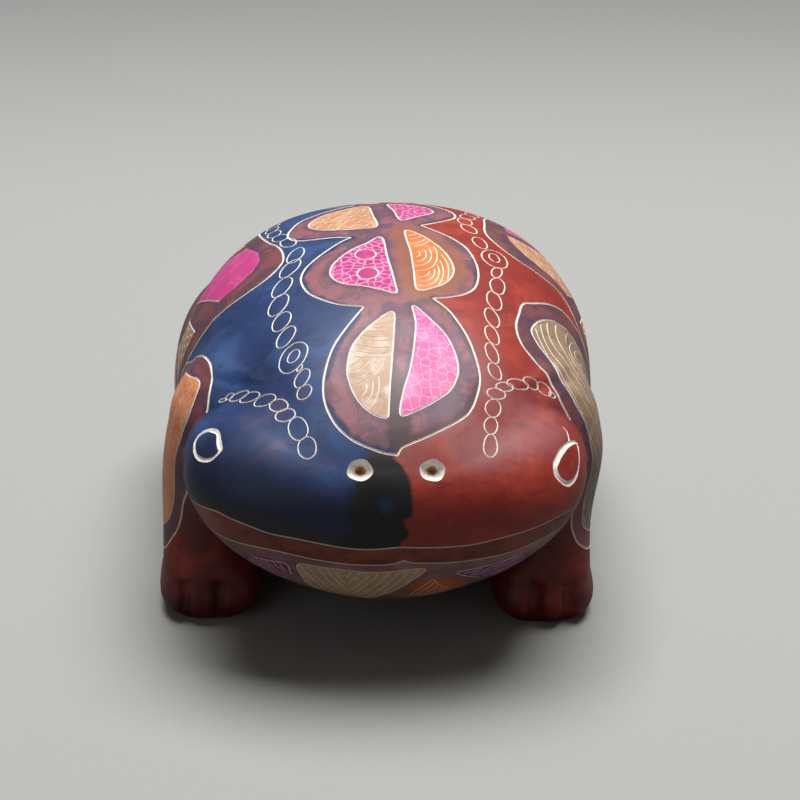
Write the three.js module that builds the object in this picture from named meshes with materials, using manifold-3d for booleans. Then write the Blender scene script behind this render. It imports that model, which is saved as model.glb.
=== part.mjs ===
// A squat frog figurine of carved, dyed and waxed soapstone, divided at its mouth line and creases.
// Millimetres, +Z up. The frog faces -Y, so its own left is +X. The origin is on the table under its middle.
import * as THREE from "three";
import { mergeVertices } from "three/addons/utils/BufferGeometryUtils.js";
import Module from "manifold-3d";

const wasm = await Module();
wasm.setup();

// Driving dimensions

const seam = 0.3; // gap between neighbouring pieces
const overallLength = 116; // nose to rump

const torso = {
  length: 113, // its front end makes the forehead
  width: 83,
  backHeight: 65.5, // top of the dome above the table
  beltHeight: 31, // widest level
  bellyClearance: 8,
  rearShift: 5, // how far behind its middle the torso is fullest
  sideFullness: 0.78, // below 1 keeps the flanks full towards the ends
  squareness: 2.4, // more than 2, an ellipse, fills the corners
  lean: 2, // the hand-cut back leans a little to the frog's left
};

const muzzle = {
  width: 75.5, // across the two eye swellings
  snout: 24, // eye line forward to the nose
  nape: 14, // eye line back to the neck crease
  crown: 16, // eye line up to the top of the head
  throat: 25.5, // eye line down to the throat
  eyeHeight: 35.5,
  endBluntness: 2.5, // 2 is an ellipsoid, more swells the eye ends
  throatBluntness: 1.8,
};

const neck = {
  place: -24, // lengthwise place of the seam behind the eye swellings
  lean: 8, // degrees that its top leans back
  softness: 5, // fillet between head and torso
};

const mouth = {
  height: 30.2, // lip line above the table at the nose
  smile: 1.8, // rise of the line at the ends of the head
};

// Drilled by eye, so the pair sits a little to the frog's left.
const nostril = {
  spacing: 12.8,
  offset: 1.7,
  rise: 9, // above the eye line
  diameter: 5,
  depth: 4,
};

// Cut by hand, so the two eyes differ. Inset is from the end of the head and rise from the eye line.
const eyeRing = {
  grooveWidth: 1,
  left: { inset: 4.9, rise: 6.1, width: 8, tall: 9.2 },
  right: { inset: 5.1, rise: 7.8, width: 8.3, tall: 7.9 },
};

// Proud is how far an outer face stands out from the torso's widest line.
const foreleg = {
  left: { footProud: -1, middle: -21.5 },
  right: { footProud: 1.5, middle: -20 },
  footWidth: 18.5,
  footLength: 25,
  footSquareness: 3.2,
  ankleHeight: 17,
  ankleWidth: 17,
  ankleLength: 21,
  shoulderProud: 0.1,
  shoulderWidth: 25,
  shoulderLength: 30,
  shoulderHeight: 37, // fullest level
  topHeight: 53,
  topInset: 13.5, // where the shoulder runs out under the back, in from the torso's widest line
};

const thigh = {
  proud: 1.5,
  length: 48,
  height: 40,
  width: 25,
  middle: 24,
  middleHeight: 26,
  tilt: 20, // degrees that the knee end dips
};

const hindFoot = {
  proud: 0.5,
  width: 19,
  length: 34,
  squareness: 2.8,
  middle: 26,
  fullHeight: 9,
  instepHeight: 15,
  instepWidth: 15,
  instepLength: 24,
};

const toes = {
  count: 3,
  notchWidth: 2.2,
  notchDepth: 1.8,
  notchHeight: 11,
  fan: 26, // degrees between notches
};

const soleRounding = 2; // edge of each sole
const ellipse = 2; // squareness of a plain oval

// Facets
const alongSteps = 34;
const aroundSteps = 44;
const sideCrowding = 0.25; // draws the facets together at the eye swellings
const legAroundSteps = 24;
const legSteps = 16;

const noseY = -overallLength / 2;
const rumpY = overallLength / 2;
const eyeLineY = noseY + muzzle.snout;
const flank = torso.width / 2;
const fullestY = rumpY - torso.length / 2 + torso.rearShift;
const sides = { left: 1, right: -1 };

// Solids and meshes

function toSolid(geometry) {
  const bare = geometry.clone();
  for (const name of Object.keys(bare.attributes)) {
    if (name !== "position") bare.deleteAttribute(name);
  }
  const merged = mergeVertices(bare, 1e-4);
  const vertProperties = new Float32Array(merged.attributes.position.array);
  const triVerts = new Uint32Array(merged.index.array);
  const solid = new wasm.Manifold(new wasm.Mesh({ numProp: 3, vertProperties, triVerts }));
  if (solid.volume() > 0) return solid;
  // The rings ran the other way round, so turn every face about.
  return new wasm.Manifold(new wasm.Mesh({ numProp: 3, vertProperties, triVerts: triVerts.reverse() }));
}

function toGeometry(solid) {
  const mesh = solid.getMesh();
  const geometry = new THREE.BufferGeometry();
  geometry.setAttribute("position", new THREE.BufferAttribute(mesh.vertProperties, 3));
  geometry.setIndex(new THREE.BufferAttribute(mesh.triVerts, 1));
  geometry.computeVertexNormals();
  return geometry;
}

// A closed surface through rings of points, from one end point to the other.
function loft(firstPoint, rings, lastPoint) {
  const count = rings[0].length;
  const points = [firstPoint, ...rings.flat(), lastPoint];
  const last = points.length - 1;
  const at = (ring, step) => 1 + ring * count + (step % count);
  const faces = [];
  for (let step = 0; step < count; step++) {
    faces.push(0, at(0, step + 1), at(0, step));
    for (let ring = 0; ring + 1 < rings.length; ring++) {
      faces.push(at(ring, step), at(ring, step + 1), at(ring + 1, step + 1));
      faces.push(at(ring, step), at(ring + 1, step + 1), at(ring + 1, step));
    }
    faces.push(last, at(rings.length - 1, step), at(rings.length - 1, step + 1));
  }
  const geometry = new THREE.BufferGeometry().setFromPoints(points);
  geometry.setIndex(faces);
  return toSolid(geometry);
}

const radians = THREE.MathUtils.degToRad;

// Roughly how far a point lies outside the torso, an egg along Y with a high back and a shallow belly.
function torsoDistance({ x, y, z }) {
  const halfLength = torso.length / 2 + (y < fullestY ? torso.rearShift : -torso.rearShift);
  const swell = Math.max(1 - ((y - fullestY) / halfLength) ** 2, 0) ** (torso.sideFullness / 2);
  const top = z > torso.beltHeight ? torso.backHeight : torso.bellyClearance;
  const up = (z - torso.beltHeight) / (top - torso.beltHeight);
  const across = Math.abs(x - (z > torso.beltHeight ? torso.lean * up : 0)) / flank;
  const share = (across ** torso.squareness + up ** torso.squareness) ** (1 / torso.squareness);
  return (share - swell) * flank;
}

// How thick the head still is at a share of its half width.
const taperAt = (out, bluntness) => (1 - out ** bluntness) ** (1 / bluntness);

// Roughly how far a point lies outside the head and jaw, a wide form with blunt eye ends.
function headDistance({ x, y, z }) {
  const out = Math.min(Math.abs(x) / (muzzle.width / 2), 0.999);
  const taper = taperAt(out, muzzle.endBluntness);
  const throatTaper = taperAt(out, muzzle.throatBluntness);
  const reach = (y < eyeLineY ? muzzle.snout : muzzle.nape) * taper;
  const lift = z > muzzle.eyeHeight ? muzzle.crown * taper : muzzle.throat * throatTaper;
  const share = Math.hypot((y - eyeLineY) / reach, (z - muzzle.eyeHeight) / lift);
  return Math.max((share - 1) * taper * muzzle.snout, Math.abs(x) - muzzle.width / 2);
}

// Torso and head run together in a soft crease.
function trunkDistance(point) {
  const fromTorso = torsoDistance(point);
  const fromHead = headDistance(point);
  const nearness = Math.max(1 - Math.abs(fromTorso - fromHead) / neck.softness, 0);
  return Math.min(fromTorso, fromHead) - (neck.softness * nearness ** 2) / 4;
}

// The first point of the trunk met on the way from an outer point to an inner one.
function trunkSurface(outer, inner) {
  const steps = 80;
  const pointAt = (share) => new THREE.Vector3().lerpVectors(outer, inner, share);
  let inside = 1 / steps;
  while (inside < 1 && trunkDistance(pointAt(inside)) > 0) inside += 1 / steps;
  let outside = inside - 1 / steps;
  for (let i = 0; i < 16; i++) {
    const middle = (outside + inside) / 2;
    if (trunkDistance(pointAt(middle)) > 0) outside = middle;
    else inside = middle;
  }
  return pointAt(inside);
}

// The point of the face seen at a place from the front.
const facePoint = (x, z) => trunkSurface(new THREE.Vector3(x, noseY - 1, z), new THREE.Vector3(x, 0, z));

// The direction that the trunk faces at a point.
function trunkNormal(point) {
  const step = 0.05;
  const slope = (axis) => {
    const ahead = point.clone();
    const behind = point.clone();
    ahead[axis] += step;
    behind[axis] -= step;
    return trunkDistance(ahead) - trunkDistance(behind);
  };
  return new THREE.Vector3(slope("x"), slope("y"), slope("z")).normalize();
}

// Torso, head and jaw in one, lofted from nose to rump, before the seams divide them.
function trunkForm() {
  const rings = [];
  for (let i = 1; i < alongSteps; i++) {
    const y = noseY * Math.cos((Math.PI * i) / alongSteps);
    const toNeck = THREE.MathUtils.clamp((y - noseY) / (neck.place - noseY), 0, 1);
    const middle = new THREE.Vector3(0, y, THREE.MathUtils.lerp(muzzle.eyeHeight, torso.beltHeight, toNeck));
    const ring = [];
    for (let j = 0; j < aroundSteps; j++) {
      const turn = (2 * Math.PI * j) / aroundSteps;
      const angle = turn - sideCrowding * Math.sin(2 * turn);
      const ray = new THREE.Vector3(Math.cos(angle), 0, Math.sin(angle)).multiplyScalar(torso.width);
      ring.push(trunkSurface(middle.clone().add(ray), middle));
    }
    rings.push(ring);
  }
  const nose = new THREE.Vector3(0, noseY, muzzle.eyeHeight);
  const rump = new THREE.Vector3(0, rumpY, torso.beltHeight);
  return loft(nose, rings, rump);
}

const trunk = trunkForm();

// Everything ahead of the neck seam, as a block to keep or cut away.
function aheadOfNeck(back) {
  const block = new THREE.BoxGeometry(2 * torso.width, overallLength, 4 * torso.backHeight);
  block.translate(0, -overallLength / 2 - back, 0);
  block.rotateX(-radians(neck.lean));
  block.translate(0, neck.place, 0);
  return toSolid(block);
}

// Everything above the mouth line, as a block to keep or cut away.
function aboveMouth(lift) {
  const half = muzzle.width;
  const rise = mouth.smile * 4; // a parabola, so at twice the half width it is four times as high
  const shape = new THREE.Shape();
  shape.moveTo(-half, mouth.height + lift + rise);
  shape.quadraticCurveTo(0, mouth.height + lift - rise, half, mouth.height + lift + rise);
  shape.lineTo(half, 2 * torso.backHeight);
  shape.lineTo(-half, 2 * torso.backHeight);
  const settings = { depth: 2 * overallLength, bevelEnabled: false, curveSegments: 40 };
  const block = new THREE.ExtrudeGeometry(shape, settings);
  block.rotateX(Math.PI / 2); // the depth now runs to -Y
  block.translate(0, overallLength, 0);
  return toSolid(block);
}

// A drilled nostril: a cone that sinks into the snout square to its surface.
function nostrilCut(side) {
  const out = nostril.offset + (side * nostril.spacing) / 2;
  const place = facePoint(out, muzzle.eyeHeight + nostril.rise);
  const overlap = 1; // the cone carries on past the surface
  const height = nostril.depth + overlap;
  const mouthRadius = ((nostril.diameter / 2) * height) / nostril.depth;
  const cone = new THREE.ConeGeometry(mouthRadius, height, 20);
  cone.rotateX(Math.PI); // the tip points down
  cone.translate(0, height / 2 - nostril.depth, 0);
  const turn = new THREE.Quaternion().setFromUnitVectors(new THREE.Vector3(0, 1, 0), trunkNormal(place));
  cone.applyQuaternion(turn);
  cone.translate(place.x, place.y, place.z);
  return toSolid(cone);
}

// A ring cut round an eye: a tube that follows the face.
function eyeRingCut(name) {
  const ring = eyeRing[name];
  const out = sides[name] * (muzzle.width / 2 - ring.inset);
  const middle = facePoint(out, muzzle.eyeHeight + ring.rise);
  const normal = trunkNormal(middle);
  const across = new THREE.Vector3(0, 0, 1).cross(normal).normalize();
  const up = normal.clone().cross(across);
  const depth = normal.clone().multiplyScalar(ring.width); // reaches the face from above and below
  const steps = 12;
  const points = [];
  for (let i = 0; i < steps; i++) {
    const turn = (2 * Math.PI * i) / steps;
    const point = middle.clone();
    point.addScaledVector(across, (ring.width / 2) * Math.cos(turn));
    point.addScaledVector(up, (ring.tall / 2) * Math.sin(turn));
    points.push(trunkSurface(point.clone().add(depth), point.clone().sub(depth)));
  }
  const path = new THREE.CatmullRomCurve3(points, true);
  return toSolid(new THREE.TubeGeometry(path, 24, eyeRing.grooveWidth / 2, 6, true));
}

// A sine or cosine drawn out towards the corners of an oval.
const drawnOut = (value, squareness) => Math.sign(value) * Math.abs(value) ** (ellipse / squareness);

// An upright limb through oval sections, each {z, x, y, width, length, squareness}, flat on the table below.
// Grow makes it larger all over, to cut its neighbours with a gap.
function limbForm(sections, topZ, grow) {
  const pointsOf = (key) => sections.map((section) => new THREE.Vector3(section[key], section.z, 0));
  const curveOf = (key) => new THREE.CatmullRomCurve3(pointsOf(key));
  const curves = Object.fromEntries(["x", "y", "width", "length", "squareness"].map((key) => [key, curveOf(key)]));
  const rings = [];
  for (let i = 0; i <= legSteps; i++) {
    const valueOf = (key) => curves[key].getPoint(i / legSteps).x;
    const z = curves.x.getPoint(i / legSteps).y - (i === 0 ? grow : 0);
    const ring = [];
    for (let j = 0; j < legAroundSteps; j++) {
      const angle = (2 * Math.PI * j) / legAroundSteps;
      const across = drawnOut(Math.cos(angle), valueOf("squareness"));
      const along = drawnOut(Math.sin(angle), valueOf("squareness"));
      const x = valueOf("x") + (valueOf("width") / 2 + grow) * across;
      const y = valueOf("y") + (valueOf("length") / 2 + grow) * along;
      ring.push(new THREE.Vector3(x, y, z));
    }
    rings.push(ring);
  }
  const first = sections[0];
  const last = sections[sections.length - 1];
  const sole = new THREE.Vector3(first.x, first.y, -grow);
  return loft(sole, rings, new THREE.Vector3(last.x, last.y, topZ + grow));
}

const forefootReach = (name) => flank + foreleg[name].footProud;
const forefootX = (name) => sides[name] * (forefootReach(name) - foreleg.footWidth / 2);

// Shoulder, leg and foot.
function forelegForm(name, grow = 0) {
  const { footWidth, footLength, footSquareness, ankleHeight, ankleWidth, ankleLength } = foreleg;
  const { shoulderWidth, shoulderLength, shoulderHeight, topHeight } = foreleg;
  const footX = forefootX(name);
  const ankleX = sides[name] * (forefootReach(name) - ankleWidth / 2);
  const shoulderX = sides[name] * (flank + foreleg.shoulderProud - shoulderWidth / 2);
  const topX = sides[name] * (flank - foreleg.topInset);
  const sections = [
    { z: 0, x: footX, width: footWidth - 2 * soleRounding, length: footLength - 2 * soleRounding },
    { z: soleRounding, x: footX, width: footWidth, length: footLength },
    { z: ankleHeight / 2, x: footX, width: footWidth, length: footLength },
    { z: ankleHeight, x: ankleX, width: ankleWidth, length: ankleLength },
    { z: shoulderHeight, x: shoulderX, width: shoulderWidth, length: shoulderLength },
  ].map((section) => ({ ...section, squareness: section.z < ankleHeight ? footSquareness : ellipse }));
  // The shoulder closes in a dome that leans towards the back.
  for (const climb of [0.5, 0.8, 0.95]) {
    const narrowing = Math.sqrt(1 - climb ** 2);
    sections.push({
      z: THREE.MathUtils.lerp(shoulderHeight, topHeight, climb),
      x: THREE.MathUtils.lerp(shoulderX, topX, climb),
      width: shoulderWidth * narrowing,
      length: shoulderLength * narrowing,
      squareness: ellipse,
    });
  }
  const placed = sections.map((section) => ({ ...section, y: foreleg[name].middle }));
  return limbForm(placed, topHeight, grow);
}

// A folded thigh: an oval swelling on the flank.
function thighForm(name, grow = 0) {
  const ball = new THREE.SphereGeometry(1, 28, 20);
  ball.scale(thigh.width / 2 + grow, thigh.length / 2 + grow, thigh.height / 2 + grow);
  ball.rotateX(radians(thigh.tilt));
  ball.translate(sides[name] * (flank + thigh.proud - thigh.width / 2), thigh.middle, thigh.middleHeight);
  return toSolid(ball);
}

const hindFootX = (name) => sides[name] * (flank + hindFoot.proud - hindFoot.width / 2);

function hindFootForm(name, grow = 0) {
  const { width, length, squareness, fullHeight, instepHeight, instepWidth, instepLength } = hindFoot;
  const sections = [
    { z: 0, width: width - 2 * soleRounding, length: length - 2 * soleRounding, squareness },
    { z: soleRounding, width, length, squareness },
    { z: fullHeight, width, length, squareness },
    { z: instepHeight, width: instepWidth, length: instepLength, squareness: ellipse },
  ].map((section) => ({ ...section, x: hindFootX(name), y: hindFoot.middle }));
  return limbForm(sections, instepHeight + soleRounding, grow);
}

// Notches between the toes, fanned across the front of a foot.
function toeNotches(foot) {
  const cuts = [];
  for (let i = 1; i < toes.count; i++) {
    const turn = radians((i - toes.count / 2) * toes.fan);
    const notch = new THREE.SphereGeometry(1, 12, 10);
    notch.scale(toes.notchWidth / 2, toes.notchDepth, toes.notchHeight);
    notch.rotateZ(turn);
    const x = foot.x + (foot.width / 2) * drawnOut(Math.sin(turn), foot.squareness);
    const y = foot.y - (foot.length / 2) * drawnOut(Math.cos(turn), foot.squareness);
    notch.translate(x, y, 0);
    cuts.push(toSolid(notch));
  }
  return wasm.Manifold.union(cuts);
}

// The pieces

function makeHead() {
  let head = trunk.intersect(aheadOfNeck(seam / 2)).intersect(aboveMouth(seam / 2));
  for (const name in sides) {
    head = head.subtract(nostrilCut(sides[name])).subtract(eyeRingCut(name));
    head = head.subtract(forelegForm(name, seam));
  }
  return head;
}

function makeLowerJaw() {
  let jaw = trunk.intersect(aheadOfNeck(seam / 2)).subtract(aboveMouth(-seam / 2));
  for (const name in sides) jaw = jaw.subtract(forelegForm(name, seam));
  return jaw;
}

function makeForeleg(name) {
  const { footWidth: width, footLength: length, footSquareness: squareness } = foreleg;
  const foot = { x: forefootX(name), y: foreleg[name].middle, width, length, squareness };
  return forelegForm(name).subtract(toeNotches(foot));
}

function makeThigh(name) {
  return thighForm(name).subtract(forelegForm(name, seam));
}

function makeHindFoot(name) {
  const { width, length, squareness } = hindFoot;
  const foot = { x: hindFootX(name), y: hindFoot.middle, width, length, squareness };
  return hindFootForm(name).subtract(thighForm(name, seam)).subtract(toeNotches(foot));
}

function makeBody() {
  let body = trunk.subtract(aheadOfNeck(-seam / 2));
  for (const name in sides) {
    body = body.subtract(forelegForm(name, seam));
    body = body.subtract(thighForm(name, seam)).subtract(hindFootForm(name, seam));
  }
  return body;
}

// Dyed and waxed stone

function dyedStone(colour) {
  return new THREE.MeshStandardMaterial({ color: colour, roughness: 0.35, metalness: 0 });
}

const redDye = dyedStone(0x7a2a22);
const navyDye = dyedStone(0x22365c);
const plumDye = dyedStone(0x5a3336);
const tanDye = dyedStone(0x8a6a4a);

const frog = new THREE.Group();

function addPiece(name, solid, material) {
  const mesh = new THREE.Mesh(toGeometry(solid), material);
  mesh.name = name;
  frog.add(mesh);
}

addPiece("body", makeBody(), navyDye);
addPiece("head", makeHead(), redDye);
addPiece("lower_jaw", makeLowerJaw(), plumDye);
for (const name in sides) {
  addPiece(`${name}_foreleg`, makeForeleg(name), redDye);
  addPiece(`${name}_thigh`, makeThigh(name), tanDye);
  addPiece(`${name}_hind_foot`, makeHindFoot(name), redDye);
}

export default frog;
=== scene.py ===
import math

import bmesh
import bpy
import numpy as np
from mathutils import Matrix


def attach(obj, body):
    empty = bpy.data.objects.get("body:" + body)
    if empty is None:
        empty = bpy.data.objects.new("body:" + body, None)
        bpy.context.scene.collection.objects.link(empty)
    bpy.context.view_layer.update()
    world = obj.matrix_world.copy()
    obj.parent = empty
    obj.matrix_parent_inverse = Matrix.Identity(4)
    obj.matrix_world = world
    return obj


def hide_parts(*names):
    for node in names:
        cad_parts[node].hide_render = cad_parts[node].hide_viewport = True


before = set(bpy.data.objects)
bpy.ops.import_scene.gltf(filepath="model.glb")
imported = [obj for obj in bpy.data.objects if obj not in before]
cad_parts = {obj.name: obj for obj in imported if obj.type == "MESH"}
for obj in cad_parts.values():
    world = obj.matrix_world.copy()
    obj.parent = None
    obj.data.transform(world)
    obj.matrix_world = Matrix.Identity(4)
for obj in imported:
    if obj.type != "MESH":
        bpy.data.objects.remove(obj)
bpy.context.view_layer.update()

import openvdb
from mathutils import Matrix, Vector

metres = 0.001  # the carving is worked out in millimetres
sides = {"left": 1, "right": -1}  # the frog's own left is +X, it faces -Y

# Form of the stone, the same sizes as the solids

torso = {"length": 113, "width": 83, "backHeight": 65.5, "beltHeight": 31, "bellyClearance": 8, "rearShift": 5,
         "sideFullness": 0.78, "squareness": 2.4, "lean": 2, "rumpY": 58}
muzzle = {"width": 75.5, "snout": 24, "nape": 14, "crown": 16, "throat": 25.5, "eyeHeight": 35.5, "eyeLineY": -34,
          "endBluntness": 2.5, "throatBluntness": 1.8}
neck = {"place": -24, "lean": 8, "softness": (5, 1.2), "from": (14, 30)}  # soft over the spine, a crease at the sides
mouth = {"height": 30.2, "smile": 1.8}
foreleg = {"left": (-1, -21.5), "right": (1.5, -20),  # foot proud of the flank, middle along Y
           "foot": (18.5, 25), "squareness": 3.2, "ankleHeight": 17, "ankle": (17, 21), "shoulderProud": 0.1,
           "shoulder": (25, 30), "shoulderHeight": 37, "topHeight": 53, "topInset": 13.5, "dome": (0.5, 0.8, 0.95),
           "toeTurns": (-5, 19), "toeReach": 8, "toeWidth": {"left": 0.8, "right": 0.1}}
thigh = {"proud": 1.5, "length": 48, "height": 40, "width": 25, "middle": 24, "middleHeight": 26, "tilt": 20}
hindFoot = {"proud": 0.5, "foot": (19, 34), "squareness": 2.8, "middle": 26, "fullHeight": 9, "instepHeight": 15,
            "instep": (15, 24), "toeTurns": (-10, 10), "toeReach": 8, "toeWidth": {"left": 0.7, "right": 0.6}}
carving = {"soleRounding": 2, "fillet": 3.5, "toeSoftness": 2.4, "wave": 0.2, "ripple": 0.07, "limbTip": 0.2,
           "limbRows": 240, "cell": 0.9, "legMargin": 1.4, "seamDepth": 2, "rearCap": 9, "slopeStep": 0.05,
           "low": (-47, -62, -4.05), "high": (47, 62, 70), "outside": 5.0, "toolFoot": 2}
flank = torso["width"] / 2


def softMin(a, b, soft):
    near = np.maximum(1 - np.abs(a - b) / soft, 0)
    return np.minimum(a, b) - soft * near ** 2 / 4


def torsoField(x, y, z):
    fullestY = torso["rumpY"] - torso["length"] / 2 + torso["rearShift"]
    halfLength = torso["length"] / 2 + np.where(y < fullestY, torso["rearShift"], -torso["rearShift"])
    swell = np.maximum(1 - ((y - fullestY) / halfLength) ** 2, 0) ** (torso["sideFullness"] / 2)
    above = z > torso["beltHeight"]
    top = np.where(above, torso["backHeight"], torso["bellyClearance"])
    up = (z - torso["beltHeight"]) / (top - torso["beltHeight"])
    across = np.abs(x - np.where(above, torso["lean"] * up, 0)) / flank
    power = torso["squareness"]
    beyond = np.maximum(np.abs(y - fullestY) - halfLength, 0)
    return ((across ** power + up ** power) ** (1 / power) - swell) * flank + 2 * beyond


def headField(x, y, z):
    half = muzzle["width"] / 2
    out = np.minimum(np.abs(x) / half, 0.999)
    taper, throatTaper = ((1 - out ** muzzle[blunt]) ** (1 / muzzle[blunt])
                          for blunt in ("endBluntness", "throatBluntness"))
    reach = np.where(y < muzzle["eyeLineY"], muzzle["snout"], muzzle["nape"]) * taper
    lift = np.where(z > muzzle["eyeHeight"], muzzle["crown"] * taper, muzzle["throat"] * throatTaper)
    share = np.hypot((y - muzzle["eyeLineY"]) / reach, (z - muzzle["eyeHeight"]) / lift)
    return np.maximum((share - 1) * taper * muzzle["snout"], np.abs(x) - half)


def limbTable(rows, topZ):  # rows of height, middle x, width, length, squareness
    rows = np.array(rows + [[topZ, rows[-1][1], carving["limbTip"], carving["limbTip"], 2]], float)
    heights = rows[:, 0]
    fine = np.linspace(heights[0], heights[-1], carving["limbRows"])
    at = np.clip(np.searchsorted(heights, fine) - 1, 0, len(heights) - 2)
    step = heights[at + 1] - heights[at]
    t = (fine - heights[at]) / step
    table = [fine]
    for column in rows.T[1:]:
        slope = np.gradient(column, heights)
        table.append((2 * t ** 3 - 3 * t ** 2 + 1) * column[at] + (t ** 3 - 2 * t ** 2 + t) * step * slope[at]
                     + (3 * t ** 2 - 2 * t ** 3) * column[at + 1] + (t ** 3 - t ** 2) * step * slope[at + 1])
    return table


def limbField(limb, x, y, z):
    tip = carving["limbTip"]
    heights, middles, widths, lengths, powers = limb["table"]
    width = np.maximum(np.interp(z, heights, widths), tip) / 2
    length = np.maximum(np.interp(z, heights, lengths), tip) / 2
    across, along = np.abs(x - np.interp(z, heights, middles)), np.abs(y - limb["middle"])
    power = np.interp(z, heights, powers)
    around = ((across / width) ** power + (along / length) ** power) ** (1 / power)
    outside = np.hypot(across, along) * (1 - 1 / np.maximum(around, 1))
    field = np.where(around > 1, outside, (around - 1) * np.minimum(width, length))
    closing = (np.minimum(widths[-2], lengths[-2]) - tip) / 2 / (heights[-1] - heights[-2])
    field = field + closing * np.maximum(z - heights[-1], 0)  # goes on closing above its top, as a cone does
    steep = np.interp(z, heights, np.gradient(np.minimum(widths, lengths), heights)) / 2
    field = field / np.sqrt(1 + steep ** 2)  # nearer to a true distance, so that the fillet stays wide at the top
    blunt = 2 / limb["squareness"]
    for turn in limb["toeTurns"]:  # soft dents between the toes
        angle = math.radians(turn) * limb["side"]
        dentX = limb["footX"] + limb["foot"][0] / 2 * math.copysign(abs(math.sin(angle)) ** blunt, angle)
        dentY = limb["middle"] - limb["foot"][1] / 2 * math.cos(angle) ** blunt
        dent = np.hypot(np.hypot(x - dentX, y - dentY), np.maximum(z - limb["toeReach"], 0)) - limb["toeWidth"]
        field = -softMin(-field, dent, carving["toeSoftness"])
    return field


def limbX(name, proud, width):
    return sides[name] * (flank + proud - width / 2)


def limbOf(name, spec, proud, middle, fullHeight, upper, topZ):
    wide, long = spec["foot"]
    footX = limbX(name, proud, wide)
    trim, square = 2 * carving["soleRounding"], spec["squareness"]
    rows = [[0, footX, wide - trim, long - trim, square]]
    rows += [[height, footX, wide, long, square] for height in (carving["soleRounding"], fullHeight)]
    return {**spec, "table": limbTable(rows + upper, topZ), "middle": middle, "side": sides[name], "footX": footX,
            "toeWidth": spec["toeWidth"][name]}


def forelegLimb(name):
    proud, middle = foreleg[name]
    width, length = foreleg["shoulder"]
    height, rise = foreleg["shoulderHeight"], foreleg["topHeight"] - foreleg["shoulderHeight"]
    shoulderX = limbX(name, foreleg["shoulderProud"], width)
    topX = sides[name] * (flank - foreleg["topInset"])
    upper = [[foreleg["ankleHeight"], limbX(name, proud, foreleg["ankle"][0]), *foreleg["ankle"], 2],
             [height, shoulderX, width, length, 2]]
    for climb in foreleg["dome"]:  # the shoulder closes in a dome that leans towards the back
        narrowing = math.sqrt(1 - climb ** 2)
        upper.append([height + rise * climb, shoulderX + (topX - shoulderX) * climb, width * narrowing,
                      length * narrowing, 2])
    return limbOf(name, foreleg, proud, middle, foreleg["ankleHeight"] / 2, upper, foreleg["topHeight"])


def hindFootLimb(name):
    instep = [hindFoot["instepHeight"], limbX(name, hindFoot["proud"], hindFoot["foot"][0]), *hindFoot["instep"], 2]
    return limbOf(name, hindFoot, hindFoot["proud"], hindFoot["middle"], hindFoot["fullHeight"], [instep],
                  hindFoot["instepHeight"] + carving["soleRounding"])


def thighField(side, x, y, z):
    tilt = math.radians(thigh["tilt"])
    along = (y - thigh["middle"]) * math.cos(tilt) + (z - thigh["middleHeight"]) * math.sin(tilt)
    up = (z - thigh["middleHeight"]) * math.cos(tilt) - (y - thigh["middle"]) * math.sin(tilt)
    out = x - side * (flank + thigh["proud"] - thigh["width"] / 2)
    a, b, c = thigh["width"] / 2, thigh["length"] / 2, thigh["height"] / 2
    near = np.sqrt((out / a) ** 2 + (along / b) ** 2 + (up / c) ** 2)
    slope = np.sqrt((out / a ** 2) ** 2 + (along / b ** 2) ** 2 + (up / c ** 2) ** 2)
    return near * (near - 1) / np.maximum(slope, 1e-6)


forelegs = {name: forelegLimb(name) for name in sides}
hindFeet = {name: hindFootLimb(name) for name in sides}


def legFields(x, y, z):
    fields = {}
    for name, side in sides.items():
        fields[name + "_hind_foot"] = limbField(hindFeet[name], x, y, z)
        fields[name + "_foreleg"] = limbField(forelegs[name], x, y, z)
        fields[name + "_thigh"] = thighField(side, x, y, z)
    return fields


def handCut(x, y, z):  # the slow waves that rasp and paper leave
    wave = np.sin(0.17 * x + 1.1) * np.sin(0.13 * y + 0.4) * np.sin(0.19 * z + 2)
    ripple = np.sin(0.33 * x + 0.21 * y + 0.6) * np.sin(0.31 * z - 0.18 * y)
    return carving["wave"] * wave + carving["ripple"] * ripple


def stoneField(x, y, z, withHead=True):
    field = torsoField(x, y, z)
    for leg in legFields(x, y, z).values():
        field = softMin(field, leg, carving["fillet"])
    if withHead:
        field = softMin(field, headField(x, y, z), np.interp(np.abs(x), neck["from"], neck["softness"]))
    return np.maximum(field + handCut(x, y, z), -z)


def stoneSlope(points):
    step = carving["slopeStep"]
    slope = np.empty_like(points)
    for axis, shift in enumerate(step * np.eye(3)):
        slope[:, axis] = stoneField(*(points + shift).T) - stoneField(*(points - shift).T)
    return slope / (2 * step)


def unit(vectors):
    return vectors / np.maximum(np.linalg.norm(vectors, axis=1, keepdims=True), 1e-9)


def settle(points, rounds=3):  # moves points onto the skin of the stone
    points = np.array(points, float)
    for _ in range(rounds):
        slope = stoneSlope(points)
        points -= slope * (stoneField(*points.T) / np.maximum((slope ** 2).sum(1), 1e-6))[:, None]
    return points


def firstMet(outer, inner, withHead=True, steps=90, halvings=16):  # where lines from outside first meet the stone
    shares = np.linspace(0, 1, steps)
    samples = outer[:, None] + (inner - outer)[:, None] * shares[None, :, None]
    inside = stoneField(samples[..., 0], samples[..., 1], samples[..., 2], withHead) < 0
    at = np.maximum(inside.argmax(1), 1)
    low, high = shares[at - 1], shares[at]
    for _ in range(halvings):
        middle = (low + high) / 2
        points = outer + (inner - outer) * middle[:, None]
        met = stoneField(*points.T, withHead) < 0
        low, high = np.where(met, low, middle), np.where(met, middle, high)
    return outer + (inner - outer) * high[:, None]


# Ways of drawing on the stone: the back from above, the flanks by a turn round the long axis, the face from ahead
# and, for the mouth, by a turn round an upright axis. Turn and wrap scales are millimetres for each degree

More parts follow.
